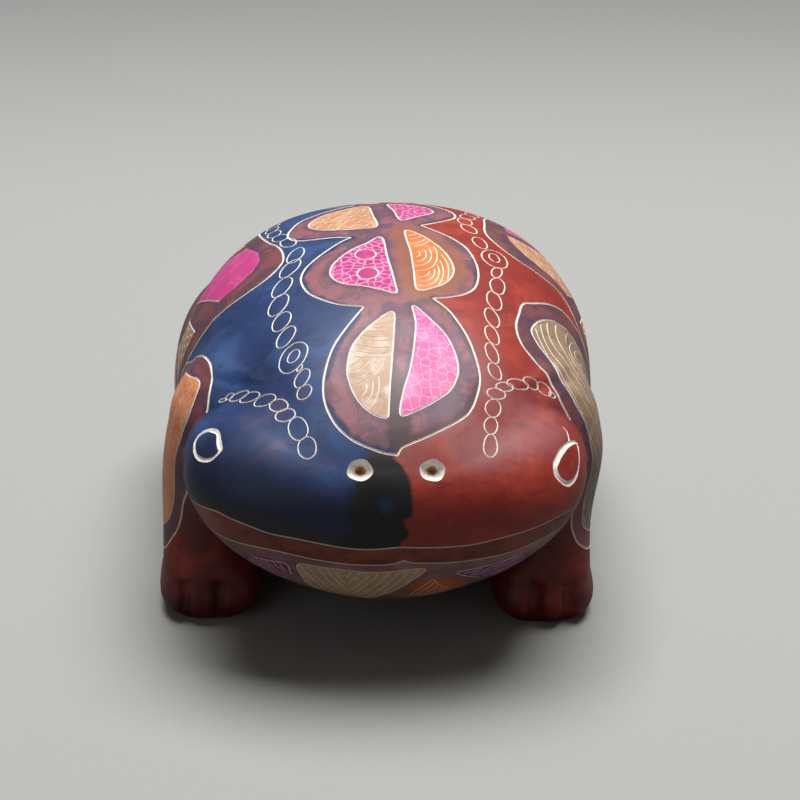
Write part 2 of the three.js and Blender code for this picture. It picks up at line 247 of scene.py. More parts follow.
drawing = {"axisHeight": 15, "turnScale": 0.75, "wrapMiddle": -22, "wrapScale": 0.65, "step": 0.55,
           "backFrom": (75, 20), "faceFrom": (-64, -10), "roundFrom": (75, 6)}  # where the sight lines start and end


def onStone(view, flat):
    flat = np.asarray(flat, float)
    one, two = flat.T
    none = np.zeros(len(flat))
    if view == "back":
        return firstMet(*(np.c_[one, two, none + z] for z in drawing["backFrom"]))
    if view == "face":
        return firstMet(*(np.c_[one, none + y, two] for y in drawing["faceFrom"]))
    if view == "wrap":
        turn = np.radians(one / drawing["wrapScale"])
        ray = np.c_[np.sin(turn), -np.cos(turn), none]
        axis = np.c_[none, none + drawing["wrapMiddle"], two]
    else:
        turn = np.radians(two / drawing["turnScale"])
        ray = np.c_[sides[view] * np.sin(turn), none, np.cos(turn)]
        axis = np.c_[none, one, none + drawing["axisHeight"]]
    return firstMet(*(axis + far * ray for far in drawing["roundFrom"]), withHead=view == "wrap")


def toFlat(view, points):
    x, y, z = points.T
    if view == "back":
        return np.c_[x, y]
    if view == "face":
        return np.c_[x, z]
    if view == "wrap":
        return np.c_[np.degrees(np.arctan2(x, drawing["wrapMiddle"] - y)) * drawing["wrapScale"], z]
    turn = np.degrees(np.arctan2(sides[view] * x, z - drawing["axisHeight"]))
    return np.c_[y, turn * drawing["turnScale"]]


def smoothLine(points, closed=False, step=drawing["step"]):
    points = np.asarray(points, float)
    if closed:
        ring = np.vstack([points[-1], points, points[:2]])
    else:
        ring = np.vstack([2 * points[0] - points[1], points, 2 * points[-1] - points[-2]])
    line = []
    for a, b, c, d in zip(ring, ring[1:], ring[2:], ring[3:]):
        count = max(2, int(np.ceil(np.linalg.norm(c - b) / step)))
        t = np.linspace(0, 1, count, endpoint=False)[:, None]
        bend = (2 * a - 5 * b + 4 * c - d) * t ** 2 + (3 * b - a - 3 * c + d) * t ** 3
        line.append(0.5 * (2 * b + (c - a) * t + bend))
    return np.vstack(line if closed else line + [points[-1:]])


def within(polygon, points):
    x, y = points.T
    inside = np.zeros(len(points), bool)
    for (x0, y0), (x1, y1) in zip(polygon, np.roll(polygon, -1, 0)):
        if y0 != y1:
            inside ^= ((y0 > y) != (y1 > y)) & (x < (x1 - x0) * (y - y0) / (y1 - y0) + x0)
    return inside


def distanceTo(polygon, points):
    best = np.full(len(points), 1e9)
    for a, b in zip(polygon, np.roll(polygon, -1, 0)):
        side = b - a
        t = np.clip(((points - a) @ side) / max(side @ side, 1e-9), 0, 1)
        best = np.minimum(best, np.hypot(*(points - a - t[:, None] * side).T))
    return best


def nearest(polygons, points, farthest=50):
    return np.min([np.full(len(points), farthest)] + [distanceTo(polygon, points) for polygon in polygons], 0)


# Ornament, in millimetres. Back outlines run in lobes between cusps

spine = {
    "lineWidth": 0.47,
    "right": [
        [(1.9, -52), (-0.9, -51.7), (-4.2, -50.7), (-6.8, -49.4), (-9.2, -47.1), (-10.8, -44.1), (-11.5, -41.2),
         (-11.4, -38.1), (-10.5, -34), (-9.3, -30.7), (-7.4, -27.2), (-5.6, -24.2), (-4, -21.6)],
        [(-4, -21.6), (-6.8, -20.8), (-9.6, -19.5), (-13.1, -16.3), (-15, -13.3), (-16, -9.2), (-15.4, -5.6),
         (-13.5, -2.4), (-10.7, 1), (-8.1, 4.1), (-6.3, 5.8)],
        [(-6.3, 5.8), (-9.4, 6.4), (-13.3, 6.8), (-16.6, 8), (-18.4, 10.5), (-18.9, 14.2), (-18.1, 17.8),
         (-16.2, 22), (-12.5, 26), (-8.5, 28.6), (-5.5, 30)],
        [(-5.5, 30), (-9, 31), (-12, 34), (-13, 38), (-11.8, 42.5), (-8, 47.5), (-3.5, 51.6), (0.5, 54)]],
    "left": [
        [(1.9, -52), (2.6, -51.1), (4.1, -50.5), (7.7, -49.1), (11.7, -47), (14.4, -44.9), (15.7, -42.9),
         (16.5, -40.8), (17.2, -37.8), (17, -35.1), (16.1, -31.3), (15, -28), (13.5, -24.8), (11.8, -21.8), (9, -18.7)],
        [(9, -18.7), (11.5, -18.1), (14.4, -16.5), (16.4, -14.3), (17.5, -11.9), (18.1, -7.9), (17.8, -3.4),
         (16.4, 1.9), (14, 5.7), (11.1, 8.7), (7.5, 12.5)],
        [(7.5, 12.5), (10, 14), (12.4, 16.2), (14.4, 19.6), (14.6, 23.5), (12.8, 27.5), (9.5, 31), (6.8, 33)],
        [(6.8, 33), (9.6, 34.4), (12, 38), (11.6, 43), (8.5, 48), (4.2, 52), (0.5, 54)]],
}
leaves = {
    "lineWidth": 0.39,
    # the front tan leaf takes a paler tan that stands for a painted highlight
    "tanFront": {"fill": "wornTan", "stretch": 1.05, "arcs": [
        ((-1.3, -20.5), 3.4, 14.4, 1.15), ((-6.6, -33.4), 1.5, 6.9, 1.3), ((-6.3, -40.6), 1.3, 5.3, 1.25)], "edge": [
        (1.4, -23.3), (1.5, -28.7), (1.1, -34.8), (0.7, -40), (0.4, -44.6), (0.1, -46.5), (-1.7, -46.3), (-4.1, -44.7),
        (-5.9, -42.2), (-7, -38.9), (-7.1, -36.1), (-6.4, -32.4), (-4.7, -29.3), (-2.2, -26.3)]},
    "pinkFront": {"fill": "pinkCells", "edge": [
        (5.2, -21.3), (5.6, -26.3), (5.1, -32.8), (4.3, -37.7), (3, -42.2), (2.5, -46.1), (5.4, -45.3), (8.4, -43.7),
        (11.5, -41.2), (12.9, -38.3), (13.2, -35.5), (12.4, -31.9), (10.9, -28.4), (8.5, -25.1)]},
    "pinkMiddle": {"fill": "magentaCells", "edge": [
        (-0.4, 5.6), (0.6, -3.7), (1.7, -12.4), (2.1, -17.4), (-0.5, -16.5), (-4, -14.9), (-7.4, -13.6), (-9.6, -11.3),
        (-10.4, -8.6), (-9.7, -5.2), (-6.8, -0.9), (-3.5, 2.5)]},
    "orangeMiddle": {"fill": "orangeFill", "stretch": 1.7, "arcs": [
        ((4.7, 12), 2.2, 7.6, 1.1), ((6.1, -2.2), 1, 4.6, 1.05), ((6.7, -8.6), 1, 6.4, 0.95)], "edge": [
        (4.3, 9.1), (5.2, -1.5), (5.6, -9.6), (6.1, -16.1), (9.1, -15.3), (11.7, -12.8), (13.2, -9.1), (13.1, -5.2),
        (11.8, -0.9), (9.7, 3.3), (7.2, 7.1)]},
    "peachRear": {"fill": "peachFill", "rows": [{"turn": 8, "pitch": 2.1, "wave": 0.7}], "edge": [
        (-3.2, 27.4), (-2, 19.5), (-1.2, 11.8), (-4.1, 10.4), (-8.7, 10.3), (-13, 12.3), (-14.8, 15.9), (-13.9, 19.7),
        (-11.4, 23.4), (-7.5, 26)]},
    "pinkRear": {"fill": "magentaCells", "edge": [
        (1.2, 30), (2.4, 22), (3.6, 15.8), (6.4, 17.6), (9.4, 20.6), (10.3, 24), (8.4, 27.4), (4.6, 29.8)]},
    "tanTail": {"fill": "tanFill", "stretch": 1.1, "arcs": [((-1, 32), 2, 9.5, 1.2), ((-1, 47), 1.3, 9, 1.25)],
        "edge": [
        (-0.8, 32.6), (-0.6, 41), (-0.4, 49.6), (-3.6, 47), (-7, 42.8), (-8.6, 38.4), (-7.2, 35), (-4, 33)]},
    "orangeTail": {"fill": "orangeFill", "stretch": 1.1, "arcs": [((3, 35), 1.6, 7.4, 1.2), ((3, 46), 1.2, 8, 1.2)],
        "edge": [
        (2.8, 34.6), (2.4, 42), (1.8, 49.6), (4.6, 47.4), (7.6, 43.2), (8.4, 39.2), (6.8, 36)]},
}
discs = {"lineWidth": 0.36, "size": (4.1, 4.4), "points": 20, "places": [(-3.6, -2.6), (-3.2, -10.3)]}
strokes = {  # fine marks inside the leaves and panels
    "lineWidth": 0.25, "inset": 0.3, "step": 0.6, "uneven": 0.12, "swell": 0.02, "waves": 2.2, "halfGap": 0.25,
    "buried": 0.12, "dashShift": 0.65, "dashPitch": 1.4, "dashJitter": 0.3, "leastLine": 5, "leastStroke": 4}
chains = {
    "lineWidth": 0.29, "shake": 0.35, "rearPitch": 5.2, "rearLoop": (2.7, 1.5),
    "loops": {  # middle, half the long axis and half the width, seen from above
        "rightBack": [(-17.2, 1.6, -0.9, -2.9, 1.6), (-18.2, -3.4, -1.4, -3, 1.7), (-19.6, -9.7, -1.2, -2.9, 1.8),
                      (-20.2, -15.4, -1, -3, 1.9), (-19.5, -21, -0.9, -2.5, 1.8), (-18.6, -25.9, -1.2, -2.3, 1.6),
                      (-17.2, -31.7, -1.5, -2.9, 2.6), (-15.9, -34.6, -0.4, -0.5, 0.4), (-15.4, -36.9, -0.9, -1.5, 1.3),
                      (-15, -39.7, -0.9, -1, 1.3)],
        "rightInner": [(-17.1, -31.5, -0.7, -1.2, 1.1)],
        "rightNeck": [(-30.3, -31.8, 0.7, -0.2, 0.3), (-29, -32, 0.8, -0.1, 0.5), (-27.2, -33.1, 1.8, -0.6, 0.8),
                      (-25.1, -35, 1.9, -0.8, 1), (-22.3, -37.6, 2, -0.5, 1.2), (-19.7, -40.1, 1.6, -1.2, 1.3),
                      (-18.4, -42.6, 1.8, -0.6, 1.4), (-16.1, -46, 0.7, -2.2, 1.8), (-14.4, -49.7, 0.3, -1.8, 1.7)],
        "leftBack": [(19, 6.4, 0.6, -2.6, 1.4), (21.7, 0.7, -0.1, -3.6, 2.7), (21.8, -4.8, -0.6, -2.2, 1),
                     (21.7, -10, -0.3, -3.1, 1.5), (20.8, -15.5, 0.2, -3, 1.5), (20.1, -21.2, 0.5, -2.7, 1.4),
                     (19.9, -26.3, 0.5, -2.4, 1.3), (19.7, -30.9, 0.6, -2.1, 1.2), (20.1, -34.6, 0.7, -1.4, 1.2)],
        "leftInner": [(21.6, 1, 0.2, -1.7, 1.1)],
        "leftNape": [(21.8, -36.7, -1.7, -0.8, 0.9), (20.2, -38.7, -1.7, -0.7, 1.2), (19.5, -41.5, -0.7, -1.7, 1.5),
                     (19, -44.9, -0.4, -1.7, 1.3), (18.8, -48.5, -0.3, -2, 1.3)],
        "leftNeck": [(24.4, -34.8, -2.1, -1.1, 1.1), (27, -32.8, -1.4, -0.4, 1.1), (29.4, -31.9, 1.2, -0.2, 1.1),
                     (31, -32.1, -0.6, 0, 0.5)]},
    "rear": {"rightRear": [(-8, 53), (-14, 48.5), (-18.5, 42), (-21.3, 34), (-22.4, 25), (-21.5, 17), (-19.2, 10),
                           (-17.8, 6.4)],
             "leftRear": [(8, 53), (13.5, 48.5), (17.2, 42), (18.8, 34), (18.2, 27), (16.6, 20), (17, 14),
                          (18.2, 10.6)]},
}
shoulders = {  # along Y and a turn in degrees round the long axis
    "lineWidth": 0.5, "panelWidth": 0.4,
    "right": {"fill": "orangeScales", "rows": [{"turn": 88, "pitch": 3, "wave": 0.35}], "outline": [
        (-5.6, 54.6), (-10.1, 50.6), (-15, 46.5), (-19.3, 43.7), (-23.3, 42.1), (-26.4, 42.4), (-29.4, 44.6),
        (-32, 48.5), (-33.2, 55), (-32.4, 62), (-30.6, 70.5), (-29, 76.4), (-28, 84.9), (-27.4, 88), (-26.4, 91.6),
        (-24.6, 93.2), (-21, 93.5), (-15.5, 91), (-11, 85), (-8, 77), (-6, 68), (-5.2, 61)], "panel": [
        (-17, 50.5), (-22.6, 47.8), (-25.7, 45.8), (-27.5, 46.8), (-29.3, 51), (-29.8, 53.9), (-29.3, 59.4),
        (-27.8, 71.4), (-26, 81.4), (-24.4, 85.8), (-21, 88.2), (-17, 85.5), (-13.5, 77), (-11.5, 68), (-11, 60),
        (-13, 54)]},
    "left": {"fill": "greyFill", "arcs": [
        ((-13.4, 41.5), 2, 17, 1.85), ((-13, 28.2), 1.8, 8.6, 1.9), ((-15.5, 57), 1.8, 15, 1.9)], "outline": [
        (-3.5, 44.4), (-4.2, 41.4), (-6.7, 37.7), (-10.2, 33.7), (-12.7, 31), (-16.5, 30.2), (-21.1, 29.8),
        (-24.9, 31.5), (-27.2, 35.1), (-29.2, 39), (-31.3, 43.2), (-32.5, 46.3), (-33.8, 54), (-33.5, 62), (-32, 70),
        (-30.8, 79), (-30.2, 85), (-29.8, 88.3), (-28.1, 91), (-24, 92.5), (-19, 92), (-13.5, 88), (-9, 80),
        (-6, 70), (-4.2, 60), (-3.4, 51)], "panel": [
        (-8.7, 45.8), (-9.8, 42.6), (-11.3, 39.3), (-13.6, 36.6), (-16.6, 34.5), (-20, 33.6), (-22.6, 35.6),
        (-24.6, 38.5), (-28, 42.3), (-30, 47.5), (-30.6, 51.6), (-30.6, 60), (-29.6, 70), (-28.6, 79), (-27.8, 84.5),
        (-24, 88), (-18.5, 86.5), (-13.8, 79), (-10.8, 69), (-9, 58), (-8.4, 51)]},
}
thighs = {
    "lineWidth": 0.5, "petalWidth": 0.4, "panelShare": (0.3, 0.84), "gap": 0.12, "margin": 1.1, "firstTurn": 252,
    "rimPoints": 7, "sidePoints": 6,
    "marks": {"pink": {"turn": 90, "pitch": 1.5, "wave": 0.1, "dash": 1.7},
              "tan": {"turn": 35, "pitch": 1.7, "wave": 0.25},
              "orange": {"turn": 4, "pitch": 2.3, "wave": 0.3}, "peach": {"turn": 72, "pitch": 1.8, "wave": 0.3}},
    "right": {"centre": (27, 58), "petals": ["pink", "tan", "orange", "peach", "tan", "pink", "orange"], "outline": [
        (21.6, 29.3), (13.3, 26.3), (7.9, 23.6), (3.3, 22.5), (-0.5, 23), (-4.4, 26.6), (-6.1, 32.6), (-6.2, 38.7),
        (-6.3, 44.5), (-6.3, 49.7), (-5.2, 58), (-3, 66), (1, 74), (8, 81), (17, 85), (27, 86), (36, 83), (44, 76),
        (49, 66), (51, 55), (49.5, 45), (44, 37.5), (36, 33), (28, 31)]},
    "left": {"centre": (27, 58), "petals": ["peach", "orange", "tan", "pink", "orange", "tan", "pink"], "outline": [
        (21.4, 23.8), (13.4, 23), (8.2, 25.1), (4.6, 29.5), (3.6, 35.3), (3.4, 40.3), (1.6, 44.3), (-0.8, 47.5),
        (-2.5, 52), (-3, 58), (-2, 66), (2, 74), (9, 81), (18, 85), (28, 86), (37, 83), (45, 76), (50, 66), (52, 55),
        (50, 44), (44, 35), (36, 28.5), (28, 25)]},
}
lips = {  # seen from ahead, and along the cheeks by Y and height
    "lineWidth": 0.3, "cheekX": 36,
    "upper": [(-36.2, 32.6), (-34.5, 33.4), (-32.9, 33.9), (-31, 34.3), (-28.5, 33.9), (-24.8, 33.2), (-21.2, 32.3),
              (-17, 31.9), (-12.8, 31.3), (-7.4, 30.5), (-2.9, 30.3), (2.2, 30.8), (4.8, 30.7), (9.3, 30.6),
              (15.3, 30.6), (19.8, 31.2), (24.4, 31.8), (28.5, 32.4), (31.6, 32.8), (34, 32.6), (36, 31.8)],
    "lower": [(-34.6, 28.4), (-32, 28), (-29, 28), (-24.3, 28.4), (-18.8, 28.2), (-12.8, 27.2), (-6.8, 26.5),
              (-1.4, 26.5), (1.6, 26.9), (3, 27.6), (4.6, 27.1), (6.3, 26.9), (11.5, 26.6), (17, 26.8), (22.5, 27.2),
              (26.2, 27.9), (29.3, 28.6), (32.6, 29), (34.8, 28.8)],
    "cheek": {"upper": [(-38.6, 31.6), (-35.6, 30.3), (-33.4, 29.6)],
              "lower": [(-38.2, 28.7), (-35.2, 28.8), (-32.4, 28.8)]},
}
chin = {  # seen from ahead, and wrapped under the jaw
    "lineWidth": 0.25,
    "middle": {"fill": "brownFill",
               "rows": [{"turn": 58, "pitch": 1.4, "wave": 0.05, "half": ((-7.4, 22.2), (1, 0.12))},
                        {"turn": 120, "pitch": 1.25, "wave": 0.05, "half": ((-7.4, 22.2), (-1, -0.12))}],
               "edge": [(-16, 25.5), (-10.3, 25.1), (-2.1, 24.5), (6.8, 25.4), (4.7, 22), (1.9, 18.9), (-0.8, 16.5),
                        (-3, 14.5), (-8, 14.5), (-13, 17), (-15.2, 21)]},
    "leftTip": {"line": [(4.4, 16.4), (6.2, 18.9), (8.5, 21.7), (9.8, 19.8), (11.7, 18.2)],
                "rows": [{"turn": 53, "pitch": 1.1, "wave": 0.05}],
                "edge": [(4.4, 16.4), (6.2, 18.9), (8.5, 21.7), (9.8, 19.8), (11.7, 18.2), (11.4, 15.6), (9, 14.4),
                         (6, 14.6)]},
    "rightComb": {"fill": "purpleFill", "line": [(-24.6, 25.2), (-21.4, 25.2), (-18.2, 25), (-17.4, 21.7)],
                  "rows": [{"turn": 108, "pitch": 1.1, "wave": 0.1}],
                  "edge": [(-25, 25.3), (-18.2, 25), (-17.4, 21.7), (-18, 18), (-22, 17), (-25.6, 21)]},
    "leftComb": {"fill": "purpleFill", "line": [(25.4, 25.6), (20.2, 24.7), (13.2, 23.6), (15.4, 21.7), (17.3, 20.6)],
                 "rows": [{"turn": 20, "pitch": 1, "wave": 0.15}],
                 "edge": [(13.2, 23.6), (20.2, 24.7), (25.4, 25.6), (25.8, 21), (22, 17.5), (17.3, 20.6)]},
}
eyes = {  # a hand-cut ring: points on the skin and the line's width there
    "step": 0.5, "reach": 0.62, "proud": 0.6, "chipWidth": 0.32,
    "right": [(-30.3, -44.9, 44.2, 1.6), (-30.6, -43.2, 44.9, 1.25), (-30.9, -41, 45.5, 1.1), (-32.5, -38.9, 45, 1),
              (-34.2, -38.1, 43.8, 0.95), (-35.1, -38.7, 42.6, 0.85), (-35.2, -40.4, 41.9, 0.95),
              (-34.6, -42.6, 41.5, 1), (-33.3, -44.6, 41.8, 0.95), (-31.9, -45.6, 42.5, 0.8),
              (-30.9, -45.6, 43.4, 0.6), (-30.4, -45.3, 43.9, 1)],
    "left": [(35.2, -38.8, 42.5, 0.7), (33.6, -41.1, 43.4, 1.2), (32.2, -43.8, 43.4, 1.35), (31.3, -45.8, 42.9, 1.35),
             (30.7, -47.5, 42.1, 1.3), (31, -48.4, 40.8, 1.15), (32, -48.4, 39.5, 1.2), (33.3, -47.5, 38.4, 1.2),
             (34.5, -45.9, 38.4, 1), (35.2, -44.2, 39, 0.6), (35.6, -42.3, 40.1, 0.42), (35.6, -40.4, 41.2, 0.36)],
    "chip": [(32.7, 45.2), (33.4, 44.6), (33.7, 44.1), (33.8, 43.6)],
}
nostrils = {"middles": [(-4.9, 44.6), (8.2, 44.5)], "width": 4.5, "depth": 3.2, "roughness": 0.025, "points": 40,
            "drill": (0, -0.9, 0.44), "overlap": 1.0, "levels": (0.12, 0.3, 0.55, 0.8, 1), "flare": 0.9,
            "flatness": 0.88}

rng = np.random.default_rng(7)
lines = {"first": [], "second": [], "third": [], "fine": []}  # groups whose lines don't cross within a group
regions = []  # later regions lie over earlier ones


def runs(points, keep, least):  # the stretches of a line that are kept
    edges = np.flatnonzero(np.diff(np.r_[False, keep, False].astype(int)))
    return [points[a:b] for a, b in zip(edges[::2], edges[1::2]) if b - a >= least]


def addLine(group, view, flat, width, closed=False, smooth=True):
    points = onStone(view, smoothLine(flat, closed) if smooth else flat)
    keep = np.abs(stoneField(*points.T)) < strokes["buried"]  # a stretch that the head buries is left out
    if keep.all():
        lines[group].append((points, np.full(len(points), width / 2), closed))
        return
    order = np.roll(np.arange(len(points)), -int(np.argmin(keep)) if closed else 0)
    for run in runs(order, keep[order], strokes["leastLine"]):
        lines[group].append((points[run], np.full(len(run), width / 2), False))


def addRegion(material, view, edge, halo=(), warm=(), margin=0.0):
    # the dye darkens beside a halo and warms beside a warm outline, and a margin takes in the skin beside a petal
    regions.append({"material": material, "view": view, "edge": np.asarray(edge, float), "halo": list(halo),
                    "warm": list(warm), "margin": margin})


def ringRound(middle, width, tall, turns):  # an oval that lies on the skin
    normal = unit(stoneSlope(middle[None]))[0]
    across = np.cross((0, 0, 1) if abs(normal[2]) < 0.9 else (0, -1, 0), normal)
    across /= np.linalg.norm(across)
    angle = np.linspace(0, 2 * math.pi, turns, endpoint=False)[:, None]
    return settle(middle + width / 2 * np.cos(angle) * across + tall / 2 * np.sin(angle) * np.cross(normal, across))


def arcStrokes(edge, families, stretch=1.0):  # a later family of arcs lies under an earlier one
    squash = np.array((1, 1 / stretch))
    for count, (centre, first, last, pitch) in enumerate(families):
        away = (np.array(centre) - edge.mean(0)) * squash
        for radius in np.arange(first, last, pitch):
            radius += pitch * rng.uniform(-strokes["uneven"], strokes["uneven"])
            turn = math.atan2(away[1], away[0]) + np.arange(0, 2 * math.pi, strokes["step"] / radius)
            swell = radius * (1 + strokes["swell"] * np.sin(3 * turn + radius))
            ring = np.array(centre) + np.c_[np.cos(turn), np.sin(turn)] * swell[:, None] / squash
            seen = np.ones(len(ring), bool)
            for other, _, far, _ in families[:count]:
                seen &= np.hypot(*((ring - other) * squash).T) > far
            yield ring, seen


def rowStrokes(edge, turn, pitch, wave=0.0, dash=0.0, half=None):  # half: a point and the way to the side that is kept
    along = np.array((math.cos(math.radians(turn)), math.sin(math.radians(turn))))
    across = np.array((-along[1], along[0]))
    middle = edge.mean(0)
    reach = np.hypot(*(edge - middle).T).max()
    place = np.arange(-reach, reach, strokes["step"])
    for count, offset in enumerate(np.arange(-reach, reach, pitch)):
        shift = rng.uniform(0, 2 * math.pi)
        bend = offset + wave * np.sin(place * strokes["waves"] + shift)
        bend += rng.uniform(-strokes["uneven"], strokes["uneven"]) * pitch
        line = middle + place[:, None] * along + bend[:, None] * across
        seen = np.ones(len(line), bool)
        if dash:
            jitter = rng.uniform(0, strokes["dashJitter"])
            phase = place + (count % 2) * strokes["dashShift"] * dash + jitter
            seen &= phase % (strokes["dashPitch"] * dash) < dash
        if half:
            seen &= (line - half[0]) @ np.array(half[1]) > strokes["halfGap"]
        yield line, seen


def addStrokes(view, edge, spec):
    made = list(arcStrokes(edge, spec["arcs"], spec.get("stretch", 1))) if "arcs" in spec else []
    for row in spec.get("rows", ()):
        made += list(rowStrokes(edge, **row))
    for line, seen in made:
        keep = seen & within(edge, line)
        keep[keep] = distanceTo(edge, line[keep]) > strokes["inset"]
        for run in runs(line, keep, strokes["leastStroke"]):
            addLine("fine", view, run, strokes["lineWidth"], smooth=False)


def drawBack():
    for shift, name in enumerate(("right", "left")):
        for count, lobe in enumerate(spine[name]):
            addLine(("first", "second")[(count + shift) % 2], "back", lobe, spine["lineWidth"])
    band = [smoothLine(lobe) for lobe in spine["right"]] + [smoothLine(lobe)[::-1] for lobe in reversed(spine["left"])]
    edges = {name: smoothLine(leaf["edge"], True) for name, leaf in leaves.items() if name != "lineWidth"}
    addRegion("plumBand", "back", np.vstack(band), halo=edges.values(),
              warm=[edge for name, edge in edges.items() if name.startswith("orange")])
    for name, edge in edges.items():
        addLine("third", "back", leaves[name]["edge"], leaves["lineWidth"], True)
        addRegion(leaves[name]["fill"], "back", edge)
        addStrokes("back", edge, leaves[name])
    for place in discs["places"]:
        ring = ringRound(onStone("back", [place])[0], *discs["size"], discs["points"])
        lines["first"].append((ring, np.full(len(ring), discs["lineWidth"] / 2), True))
        addRegion("pinkDisc", "back", ring[:, :2])


def drawFlank(name):
    scale = (1, drawing["turnScale"])
    outline, panel = (np.array(shoulders[name][key]) * scale for key in ("outline", "panel"))
    edge = smoothLine(panel, True)
    addLine("second", name, outline, shoulders["lineWidth"], True)
    addLine("third", name, panel, shoulders["panelWidth"], True)
    addRegion("plumPatch", name, smoothLine(outline, True), halo=[edge])
    addRegion(shoulders[name]["fill"], name, edge)
    addStrokes(name, edge, shoulders[name])
    drawFan(name, np.array(thighs[name]["outline"]) * scale, np.array(thighs[name]["centre"]) * scale)


def drawFan(name, outline, centre):  # petals round the thigh, each lined along its two long sides
    edge = smoothLine(outline, True)
    addLine("third", name, outline, thighs["lineWidth"], True)
    arms = edge - centre
    turns = np.degrees(np.arctan2(arms[:, 1], arms[:, 0])) % 360
    order = np.argsort(turns)
    turns, reach = turns[order], np.hypot(*arms[order].T)
    low, high = thighs["panelShare"]
    sector = 360 / len(thighs[name]["petals"])
    petals = []
    for count, dye in enumerate(thighs[name]["petals"]):
        start = thighs["firstTurn"] - count * sector
        first, last = start - sector * thighs["gap"], start - sector * (1 - thighs["gap"])
        spread = np.linspace(first, last, thighs["rimPoints"])
        rim = np.interp(spread % 360, turns, reach, period=360)
        ray = np.c_[np.cos(np.radians(spread)), np.sin(np.radians(spread))]
        outer, inner = centre + ray * (rim * high)[:, None], centre + ray * (rim * low)[:, None]
        petals.append((dye, np.vstack([outer, inner[::-1]]), start - sector / 2))
        for side in (0, -1):
            long = np.linspace(outer[side], inner[side], thighs["sidePoints"])
            addLine("third", name, long, thighs["petalWidth"])
    addRegion("plumPatch", name, edge, halo=[petal for _, petal, _ in petals])
    for dye, petal, turn in petals:
        addRegion(dye + "Petal", name, petal, margin=thighs["margin"])
        mark = thighs["marks"][dye]
        addStrokes(name, petal, {"rows": [{**mark, "turn": mark["turn"] + turn}]})


def lipLine(name):  # round the face, then back along both cheeks to the shoulders
    front = toFlat("wrap", onStone("face", lips[name]))
    cheek = toFlat("wrap", np.array([(lips["cheekX"], y, z) for y, z in lips["cheek"][name]]))
    return smoothLine(np.vstack([(cheek * (-1, 1))[::-1], front, cheek]))


def drawMouth():
    upper, lower = lipLine("upper"), lipLine("lower")
    for path in (upper, lower):
        addLine("first", "wrap", path, lips["lineWidth"], smooth=False)
    away, bottom = 180 * drawing["wrapScale"], -5
    under = [(away, lower[-1, 1]), (away, bottom), (-away, bottom), (-away, lower[0, 1])]
    addRegion("throatDye", "wrap", np.vstack([lower, under]))
    addRegion("lipDye", "wrap", np.vstack([upper, lower[::-1]]))
    for name in ("middle", "leftTip", "rightComb", "leftComb"):
        spec = chin[name]
        view = "wrap" if name.endswith("Comb") else "face"
        edge, line = (toFlat(view, onStone("face", spec.get(key, spec["edge"]))) for key in ("edge", "line"))
        addLine("third", view, line, chin["lineWidth"], "line" not in spec)
        edge = smoothLine(edge, True)
        if "fill" in spec:
            addRegion(spec["fill"], view, edge)
        addStrokes(view, edge, spec)


def drawEyes():
    for name in sides:
        ring = smoothLine(eyes[name], True, eyes["step"])
        points, reach = settle(ring[:, :3]), eyes["reach"] * ring[:, 3]
        proud = unit(stoneSlope(points)) * (eyes["proud"] * reach)[:, None]
        lines["first"].append((points + proud, reach, True))
    addLine("second", "face", eyes["chip"], eyes["chipWidth"])


drawBack()
for name in sides:
    drawFlank(name)
drawMouth()
drawEyes()
print("ornament drawn:", {name: len(group) for name, group in lines.items()}, "lines,", len(regions), "regions")


# Finishes: dyes over the pale stone, with some painted highlight and shade, then wax

def rgb(*levels):
    return tuple((c / 255 / 12.92) if c <= 10 else ((c / 255 + 0.055) / 1.055) ** 2.4 for c in levels) + (1,)


class Nodes:  # a node tree, and short ways of adding to it
    def __init__(self, tree):
        self.tree = tree

    def put(self, socket, value):
        if isinstance(value, bpy.types.NodeSocket):
            self.tree.links.new(value, socket)
        elif value is not None:
            socket.default_value = value

    def add(self, kind, links=(), **settings):
        node = self.tree.nodes.new(kind)
        for key, value in settings.items():
            setattr(node, key, value)
        for socket, value in links:
            self.put(node.inputs[socket], value)
        return node

    def calc(self, operation, *values):
        return self.add("ShaderNodeMath", enumerate(values), operation=operation).outputs[0]

    def plus(self, a, b):
        return self.calc("ADD", a, b)

    def minus(self, a, b):
        return self.calc("SUBTRACT", a, b)

    def times(self, first, *others):
        for other in others:
            first = self.calc("MULTIPLY", first, other)
        return first

    def shifted(self, base, value, by):  # the base, moved by a share of the value
        return self.calc("MULTIPLY_ADD", value, by, base)


